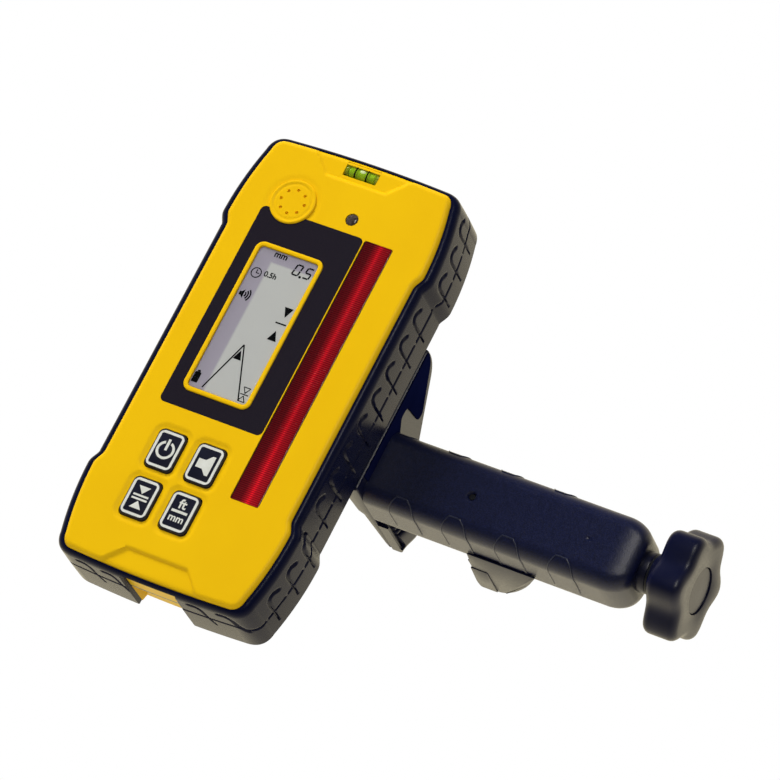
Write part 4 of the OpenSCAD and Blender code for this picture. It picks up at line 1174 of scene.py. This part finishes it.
def rib_height(from_end, tip):
    """Height of a pad's ribs from 0 to 1, with a smooth prong of length tip at the outer end."""
    place = np.abs((from_end - tip) / RIB_PITCH % 1 - 0.5) * 2
    rib = np.sqrt(np.clip(1 - (place / (1 - RIB_GAP / RIB_PITCH)) ** 2, 0, 1)) * INNER_RIB
    nose = np.sqrt(np.clip(1 - ((TIP_NOSE - from_end) / TIP_NOSE) ** 2, 0, 1))
    root = np.clip(1 - np.abs((from_end - TIP_NOSE) / (tip - TIP_NOSE)) ** 6, 0, 1) ** 0.25
    return np.where(from_end < TIP_NOSE, nose, np.where(from_end < tip, root, rib))


def ribbed_pad(x_back, x_face, y0, y1, z_low, top_line, bulge, tip):
    """Grip pad with a flat foot, a slit above it, upright ribs and a prong, below a line in Y and Z."""
    sign = 1 if x_face > x_back else -1
    y = np.linspace(y0, y1, 160)
    rib = rib_height(y1 - y, tip)
    foot, top = z_low + PAD_FOOT, np.interp(y, *top_line)
    near = [0, 0.3, PAD_FOOT - 0.1, PAD_FOOT + 0.15, PAD_FOOT + SLIT, PAD_FOOT + SLIT + 0.25]
    levels = [np.full(len(y), z_low + up) for up in near]
    start = levels[-1]
    levels += [start + t * (top - start) for t in [*np.linspace(0.04, 0.95, 18), 0.985, 1]]
    open_slit = smooth_step((y1 - y - 2.5) / 1.5)
    rings = []
    for z in levels:
        swell = TIP_LOW + (1 - TIP_LOW) * smooth_step((z - z_low) / RIB_SWELL_L)
        swell = swell * (1 - 0.7 * smooth_step((z - top + 2) / 2))
        above = np.maximum(smooth_step((z - foot + 0.1) / 0.2), 1 - open_slit)
        in_slit = above * open_slit * (1 - smooth_step((z - foot - SLIT) / 0.25))
        face = FOOT_REACH * (1 - above) + above * (bulge * swell * rib - RIB_DIP * (1 - rib))
        face = x_face + sign * (face * (1 - in_slit) - SLIT_IN * in_slit)
        front = np.column_stack([face, y, z])
        back = at_x(np.column_stack([y, z]), x_back)[::-1]
        rings.append(np.vstack([front, back]))
    return loft(rings)


def jaw_pads():
    """Ribbed pads of the two jaws."""
    lo, hi = mm_box("fixed_jaw_pad")
    top_line = [lo[1], lo[1] + 2, hi[1]], [hi[2], hi[2], FIXED_TIP_Z]
    fin_low, tip_y = mm_box("clamp_bracket")[0][2], jaw_hi[1] + 0.9
    shape = ribbed_pad(lo[0], hi[0], 0.3, tip_y, fin_low, top_line, FIXED_BULGE, FIXED_PRONG)
    piece("fixed_jaw_ribs", shape, "black_plastic", "fixed_jaw_pad", sharp=35)
    lo, hi = mm_box("moving_jaw_pad")
    top_line = [lo[1], hi[1]], [hi[2], MOVING_TIP_Z]
    shape = ribbed_pad(hi[0], hi[0] - 0.8, lo[1], hi[1], lo[2], top_line, MOVING_BULGE, MOVING_PRONG)
    piece("moving_jaw_ribs", shape, "black_plastic", "moving_jaw_pad", body="jaw", sharp=35)


# Outlines of the moving jaw's body, sole and heel in X and Y, with their corners' roundings
JAW_Y0 = 0.5
JAW_BODY = [(jaw_lo[0], JAW_Y0), (57, JAW_Y0), (47.3, 15.7), (40.7, jaw_hi[1]), (jaw_lo[0], jaw_hi[1])]
JAW_ROUND = [0.3, 0.8, 6, 4, 1]
SOLE = [(34.7, -8.4), (61.6, -8.4), (55.4, 4.1), (47.3, 15.7), (40.9, 21.4), (32.6, 21.4), (31.9, 17.5),
        (33.9, 0)]
SOLE_ROUND = [0.3, 0.8, 6, 6, 4, 1.2, 3, 3]
SOLE_T = 0.85
HEEL = [(33.0, 4.3), (39.6, 4.3), (39.4, 21.2), (32.8, 21.2), (32.1, 17.5)]
HEEL_ROUND = [0.4, 0.8, 0.4, 1, 2]
HEEL_T = 0.3
# Carriage in the handle's channel, and half the height of the neck that joins it to the jaw
CARRIAGE_L = 17
CARRIAGE_HALF = 8.7
NECK_HALF = 4.2


def sole_plate(loop, z0, z1, r):
    """Thin plate in X and Y with a rounded low edge."""
    loop = even(loop, 200)
    out = normals(loop)
    rings = [at_height(loop - out * inset, z0 + up) for inset, up in edge_steps(r)[1:]]
    return loft(rings + [at_height(loop, z1)])


def moving_jaw():
    """Sliding jaw with a sole, a rounded outer side and a sloping top, and its carriage in the handle."""
    x0, low = jaw_lo[0], jaw_lo[2]
    x1 = x0 + CARRIAGE_L
    plan = even(soften(JAW_BODY, JAW_ROUND), 200)
    out = normals(plan)
    rings = [at_height(plan, low + SOLE_T)]
    for inset, drop in ((0, 1.2), (0.35, 0.35), (1.2, 0)):
        p = plan - out * inset
        top = np.interp(p[:, 1], [JAW_Y0, jaw_hi[1]], [-low, low + 10])
        rings.append(at_height(p, top - drop))
    shape = join(loft(rings),
                 sole_plate(soften(SOLE, SOLE_ROUND), low + HEEL_T, low + SOLE_T + 0.05, 0.15),
                 sole_plate(soften(HEEL, HEEL_ROUND), low, low + SOLE_T, 0.12),
                 soft_box((x0, -4, -NECK_HALF), (x1, JAW_Y0 + 0.3, NECK_HALF), 0.3),
                 soft_box((x0, jaw_lo[1], -CARRIAGE_HALF), (x1, -3.3, CARRIAGE_HALF), 0.5))
    piece("moving_jaw_body", shape, "black_plastic", "moving_jaw", body="jaw")


HANDLE_R = 6
DOME_IN_Y = 4.5
DOME_IN_Z = 6.5
# Petal of the grip: place along the handle, and round its section from the middle of the front
PETAL = np.array([(-2.2, 9.4), (2.2, 9.4), (4.6, 12.2), (5.7, 17), (5.5, 30), (-4.3, 30), (-4.3, 17),
                  (-3.8, 13)])
PETAL_LINE = [(-4.3, 28), (-4.3, 22), (-4.3, 17), (-3.8, 13), (-2.3, 9.8), (-1.6, 9.4), (1.8, 9.4),
              (2.5, 9.8), (4.6, 12.2), (5.7, 17), (5.7, 22), (5.5, 28)]
PETAL_FIRST = 10.9
PETAL_STEP = 20.8
TOP_SHIFT = 1.2
TOP_BACK = 4.2
LINE_R = 0.24
LINE_END = 28.5
PETAL_RISE = 0.16
PETAL_BEVEL = 0.6
# Screw hole and small mark on the grip
HOLE_R = 1.75
HOLE_D = 1.4
MARK_X = 79.4
MARK_R = 0.8
MARK_D = 0.35
PIT_SOFT = 0.5


def petals():
    """Side, place along the handle and shift round the section of each petal, low row first."""
    low = [(1, PETAL_FIRST + PETAL_STEP * k, 0) for k in range(4)]
    return low + [(-1, mid - PETAL_STEP / 2 - TOP_SHIFT, TOP_BACK) for _, mid, _ in low]


def petal_rise(x, q):
    """Rise of the grip's petals at places along the handle and round its section."""
    rise = np.zeros(x.size)
    for sign, mid, back in petals():
        points = np.column_stack([x.ravel() - mid, sign * q.ravel() - back])
        near = ((points > PETAL.min(axis=0) - 1) & (points < PETAL.max(axis=0) + 1)).all(axis=1)
        part = points[near]
        gap = np.full(len(part), np.inf)
        for a, b in zip(PETAL, np.roll(PETAL, -1, axis=0)):
            d = b - a
            t = np.clip((part - a) @ d / (d @ d), 0, 1)
            gap = np.minimum(gap, np.linalg.norm(part - a - t[:, None] * d, axis=1))
        gap = np.where(inside(part, PETAL), gap, -gap)
        rise[near] = np.maximum(rise[near], PETAL_RISE * smooth_step(gap / PETAL_BEVEL + 0.5))
    return rise.reshape(x.shape)


def handle_section(in_y, in_z, steps=16):
    """Loop of the handle's outer section in Y and Z."""
    r = max(1, HANDLE_R - min(in_y, in_z) / 2)
    w, h = handle_hi[1] - handle_lo[1] - 2 * in_y, handle_hi[2] - handle_lo[2] - 2 * in_z
    return round_rect(w, h, r, (AXIS_Y, 0), steps)


def grip_section():
    """Outer skin of the grip's section: points in Y and Z, normals, and run from the front's middle."""
    section = even(handle_section(0, 0), 420)
    out = normals(section)
    keep = (section[:, 0] < AXIS_Y) | (np.abs(section[:, 1]) > core_hi[2])
    start = np.argmin(np.abs(section[:, 1] - core_hi[2]) + 99 * (section[:, 0] < AXIS_Y))
    section, out, keep = (np.roll(part, -start, axis=0) for part in (section, out, keep))
    skin, out = section[keep], out[keep]
    run = run_along(skin)
    front = np.argmin(np.abs(skin[:, 1]) + 99 * (skin[:, 0] > AXIS_Y))
    return skin, out, run - run[front]


def bead(path, r):
    """Thin raised line on the grip along a path of places along the handle and round its section."""
    skin, out, q = grip_section()
    path = np.array(smooth_path(path, 6))
    def at(values):
        return np.column_stack([np.interp(path[:, 1], q, values[:, k]) for k in (0, 1)])
    spot, up = at_x(at(skin), path[:, 0]), unit(at_x(at(out), 0))
    side = unit(np.cross(np.gradient(spot, axis=0), up))
    centre = spot + up * PETAL_RISE * 0.6
    rings = [[c + r * (across * s + high * u) for across, high in circle(1, steps=8)]
             for c, s, u in zip(centre, side, up)]
    return loft(rings)


def petal_lines():
    """Raised outlines of the grip's petals, in a lighter finish that also paints the highlight they catch.
    """
    shapes = []
    for sign, mid, back in petals():
        path = [(mid + x, sign * min(q + back, LINE_END)) for x, q in PETAL_LINE]
        shapes.append(bead([p for p in path if p[0] > handle_lo[0] + 0.5], LINE_R))
    piece("petal_lines", join(*shapes), "lit_grip_line", slot="grip_plastic")


def handle_grip():
    """Soft grip round the channel, with petals, a screw hole and a small mark, and a domed end."""
    skin, out, q = grip_section()
    end = core_hi[0]
    x = np.arange(handle_lo[0], end + 0.01, 0.4)
    x[-1] = end
    grid_x, grid_q = np.meshgrid(x, q, indexing="ij")
    screw_lo, screw_hi = mm_box("grip_screw")
    hole = np.hypot(grid_x - (screw_lo[0] + screw_hi[0]) / 2, grid_q)
    mark = np.hypot(grid_x - MARK_X, grid_q)
    rise = petal_rise(grid_x, grid_q) - HOLE_D * smooth_step((HOLE_R - hole) / PIT_SOFT)
    rise = rise - MARK_D * smooth_step((MARK_R - mark) / PIT_SOFT)
    skins = skin[None, :, :] + out[None, :, :] * rise[:, :, None]
    inner = np.array([(core_lo[1], -core_hi[2]), (core_lo[1], core_hi[2])])
    rings = [at_x(np.vstack([outer, inner]), place) for outer, place in zip(skins, x)]
    dome = []
    for a in np.radians(np.arange(0, 91, 5)):
        loop = handle_section(DOME_IN_Y * (1 - math.cos(a)), DOME_IN_Z * (1 - math.cos(a)))
        dome.append(at_x(loop, end + (handle_hi[0] - end) * math.sin(a)))
    piece("handle_grip_skin", join(loft(rings), loft(dome)), "grip_plastic", "handle_grip", sharp=45)


BORE_R = 4.1


def end_collar():
    """Collar at the handle's end."""
    lo, hi = mm_box("end_collar")
    r = (hi[2] - lo[2]) / 2
    profile = [(BORE_R, lo[0]), (r, lo[0]), (r, hi[0] - 0.6), (r - 0.18, hi[0] - 0.18), (r - 0.6, hi[0]),
               (BORE_R, hi[0])]
    piece("end_collar_ring", lathe(profile, SCREW_AXIS, "x", wrap=True), "black_plastic", "end_collar")


LOBES = 6
LOBE_TURN = 56
KNOB_R = 20.4
LOBE_DEPTH = 3.4
KNOB_EDGE = 3.0
KNOB_BORE = 4.05
HUB_R = 8
HUB_L = 4
CAP_R = 8.4


def knob_loop():
    """Lobed outline of the knob in Y and Z."""
    a = np.arange(0, 360, 1.0)
    r = KNOB_R - LOBE_DEPTH * (1 - np.cos(np.radians(LOBES * a))) / 2
    turn = np.radians(a + LOBE_TURN)
    return np.column_stack([-r * np.sin(turn), r * np.cos(turn)])


def knob():
    """Six-lobed knob with rounded edges, a hub and a disc let into its face."""
    loop = knob_loop()
    out = normals(loop)
    way = unit(loop)
    back, x0, x1 = knob_lo[0], knob_lo[0] + HUB_L, knob_hi[0]
    def hub(r, x):
        return at_x(way * r, x)
    rings = [hub(KNOB_BORE, back), hub(HUB_R - 0.4, back), hub(HUB_R, back + 0.4), hub(HUB_R, x0)]
    turns = np.linspace(0, math.pi / 2, 7)
    for face, sign, angles in ((x0, 1, turns), (x1, -1, turns[::-1])):
        for a in angles:
            edge = loop - out * KNOB_EDGE * (1 - math.sin(a))
            rings.append(at_x(edge, face + sign * KNOB_EDGE * (1 - math.cos(a))))
    rings += [hub(CAP_R + 0.32, x1), hub(CAP_R + 0.16, x1 - 0.12), hub(CAP_R + 0.1, x1 - 2),
              hub(KNOB_BORE, x1 - 2)]
    shape = moved(loft(rings, wrap=True), SCREW_AXIS)
    piece("knob_body", shape, "black_plastic", "knob", body="knob_screw")
    low, high = (corner[0] for corner in mm_box("knob_cap"))
    profile = [(0.01, low), (CAP_R, low), (CAP_R, high - 0.25), (CAP_R - 0.3, high), (0.01, high + 0.1)]
    disc = lathe(profile, SCREW_AXIS, "x", 72)
    piece("knob_cap_disc", disc, "black_plastic", "knob_cap", body="knob_screw")


THREAD_PITCH = 3.0
THREAD_D = 0.75
TAIL_L = 6
TAIL_R = 3.0
BUSH_R = 4.6
BUSH_OUT = 1.7


def clamp_screw():
    """Threaded clamp screw, and the bush round its tail on the fin."""
    lo, hi = mm_box("clamp_screw")
    start, end = lo[0], lo[0] - BUSH_OUT
    r = (hi[2] - lo[2]) / 2 - 0.05
    around = circle(1, steps=28)
    share = np.arange(28) / 28
    rings = []
    for x in np.arange(start + TAIL_L, hi[0] + 0.01, 0.4):
        phase = (x / THREAD_PITCH - share) % 1
        radius = r - THREAD_D * np.abs(phase - 0.5) * 2
        rings.append(at_x(around * radius[:, None], x))
    profile = [(TAIL_R - 0.4, end), (TAIL_R, end + 0.4), (TAIL_R, start + TAIL_L + 0.2)]
    tail = lathe(profile, SCREW_AXIS, "x", 28)
    shape = join(moved(loft(rings), SCREW_AXIS), tail)
    piece("clamp_screw_thread", shape, "steel", "clamp_screw", body="knob_screw")
    inner, outer = TAIL_R + 0.2, BUSH_R
    profile = [(inner, start + 1), (outer, start + 1), (outer, end + 0.3), (outer - 0.3, end), (inner, end)]
    piece("tail_bush", lathe(profile, SCREW_AXIS, "x", wrap=True), "black_plastic")


# CAD nodes that are shown as they are, by finish
CARRIED = {
    "silicone": ("shell_gasket", "keypad_mat"),
    "black_plastic": ("light_baffle", "buzzer", "handle_core"),
    "sensor_black": ("photodiodes",),
    "circuit_board": ("main_board",),
    "steel": ("board_screws", "door_pin", "screw_clip"),
    "clear_lens": ("lamp_led",),
    "cell_wrap": ("battery_cells",),
    "nickel": ("battery_contacts",),
    "brass": ("thread_inserts", "jaw_nut"),
    "dark_steel": ("grip_screw", "thrust_washer"),
}


def carried_nodes():
    """Gives each CAD node that is shown its finish."""
    for paint, nodes in CARRIED.items():
        for node in nodes:
            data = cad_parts[node].data
            data.materials.clear()
            data.materials.append(FINISH[paint])


# Light, floor and camera

WHITE = (1, 1, 1, 1)
FILL_LEVEL = 0.55
# Reflections: dark in front and bright behind, by the place of a direction along BRIGHT_WAY
FRONT_TINT = (0.7, 0.8, 1, 1)
FRONT_LEVEL = 0.04
BACK_TINT = (1.0, 0.9, 0.64, 1)
BACK_LEVEL = 1.5
BRIGHT_WAY = (0, 1, -0.2)
DARK_TO = -0.55
BRIGHT_FROM = 0.75
# Lights: place and size in metres, power and tint
KEY_LIGHT = ((-1.25, -1.15, 1.65), (1.0, 1.0), 50, (1, 1, 1))
STRIP_LIGHT = ((0.56, -1.58, 0.5), (0.07, 0.7), 8, (1, 0.97, 0.9))
# Floor, in metres
FLOOR_Z = -2.0
FLOOR_HALF = 14
FLOOR_PALE = (0.85, 0.85, 0.85, 1)
FLOOR_GLOW = 0.52


def mix_shader(tree, fac, first, second):
    """Two shaders mixed by fac."""
    return add(tree, "MixShader", {0: fac, 1: first, 2: second}).outputs[0]


def world_light():
    """White to the camera; soft fill; bright behind and below and dark in front for reflections."""
    world = bpy.data.worlds.new("studio")
    bpy.context.scene.world = world
    world.use_nodes = True
    tree = world.node_tree
    tree.nodes.clear()
    def background(tint, level):
        return add(tree, "Background", {"Color": tint, "Strength": level}).outputs[0]
    rays = add(tree, "LightPath").outputs
    place = add(tree, "TexCoord").outputs["Generated"]
    way = add(tree, "VectorMath", {0: place, 1: BRIGHT_WAY}, operation="DOT_PRODUCT").outputs["Value"]
    behind = spread(tree, way, 0, 1, DARK_TO, BRIGHT_FROM)
    gloss = mix_shader(tree, behind, background(FRONT_TINT, FRONT_LEVEL), background(BACK_TINT, BACK_LEVEL))
    soft = mix_shader(tree, rays["Is Glossy Ray"], background(WHITE, FILL_LEVEL), gloss)
    clear = mix_shader(tree, rays["Is Transmission Ray"], soft, background(WHITE, 1))
    shown = mix_shader(tree, rays["Is Camera Ray"], clear, background(WHITE, 1))
    add(tree, "OutputWorld", {"Surface": shown})


def floor():
    """Pale floor far below, lifted to white for the camera, with the object's shadow on it."""
    mesh = bpy.data.meshes.new("floor")
    far, z = FLOOR_HALF, FLOOR_Z
    mesh.from_pydata([(-far, -far, z), (far, -far, z), (far, far, z), (-far, far, z)], [], [(0, 1, 2, 3)])
    obj = linked("floor", mesh)
    mat = bpy.data.materials.new("pale_floor")
    mat.use_nodes = True
    tree = mat.node_tree
    tree.nodes.clear()
    pale = add(tree, "BsdfDiffuse", {"Color": FLOOR_PALE}).outputs[0]
    glow = add(tree, "Emission", {"Color": WHITE, "Strength": FLOOR_GLOW}).outputs[0]
    lifted = add(tree, "AddShader", {0: pale, 1: glow}).outputs[0]
    seen = add(tree, "LightPath").outputs["Is Camera Ray"]
    add(tree, "OutputMaterial", {"Surface": mix_shader(tree, seen, pale, lifted)})
    mesh.materials.append(mat)
    obj.visible_glossy = False


def soft_light(name, where, size, power, tint):
    """Area light aimed at the object's middle."""
    data = bpy.data.lights.new(name, "AREA")
    data.shape = "RECTANGLE"
    data.size, data.size_y = size
    data.energy = power
    data.color = tint
    obj = linked(name, data)
    middle = (cad_box[0] + cad_box[1]) / 2
    obj.location = Vector(where)
    obj.rotation_euler = (middle - obj.location).to_track_quat("-Z", "Y").to_euler()
    return obj


def lights():
    """Large key light from the upper left, and a strip at the right that only draws highlights on edges."""
    key = soft_light("key", *KEY_LIGHT)
    key.visible_glossy = False
    strip = soft_light("strip", *STRIP_LIGHT)
    strip.visible_diffuse = False


# Camera: place in mm, angles in degrees
CAMERA_AT = (659.15, -1473.4, -463.5)
CAMERA_TURN = 24.861
CAMERA_RISE = 17.05
CAMERA_ROLL = 27.43
LENS = 221.54


def camera():
    """Camera that matches the reference view."""
    data = bpy.data.cameras.new("camera")
    data.lens = LENS
    data.sensor_width = 36
    data.clip_end = 60
    obj = linked("camera", data)
    turn, rise, roll = (math.radians(v) for v in (CAMERA_TURN, CAMERA_RISE, CAMERA_ROLL))
    ahead = Vector((-math.sin(turn) * math.cos(rise), math.cos(turn) * math.cos(rise), math.sin(rise)))
    level = Vector((math.cos(turn), math.sin(turn), 0))
    right = level * math.cos(roll) + level.cross(ahead) * math.sin(roll)
    axes = Matrix((right, right.cross(ahead), -ahead)).transposed().to_4x4()
    obj.matrix_world = Matrix.Translation(Vector(CAMERA_AT) * MM) @ axes
    bpy.context.scene.camera = obj
    bpy.context.scene.view_settings.view_transform = "Standard"


front_shell()
sound_gauze()
rubber_boot()
rear_shell()
battery_door()
display_panel()
screen_frame()
screen()
beam_window()
keys()
lamp_lens()
vial()
screw_heads("case_screw_heads", "case_screws", CASE_SCREW_R, 1.6)
screw_heads("bracket_screw_heads", "bracket_screws", BRACKET_SCREW_R, 2)
clamp_bracket()
fin_shade_sheet()
jaw_pads()
moving_jaw()
handle_grip()
petal_lines()
end_collar()
knob()
clamp_screw()
carried_nodes()
world_light()
floor()
lights()
camera()
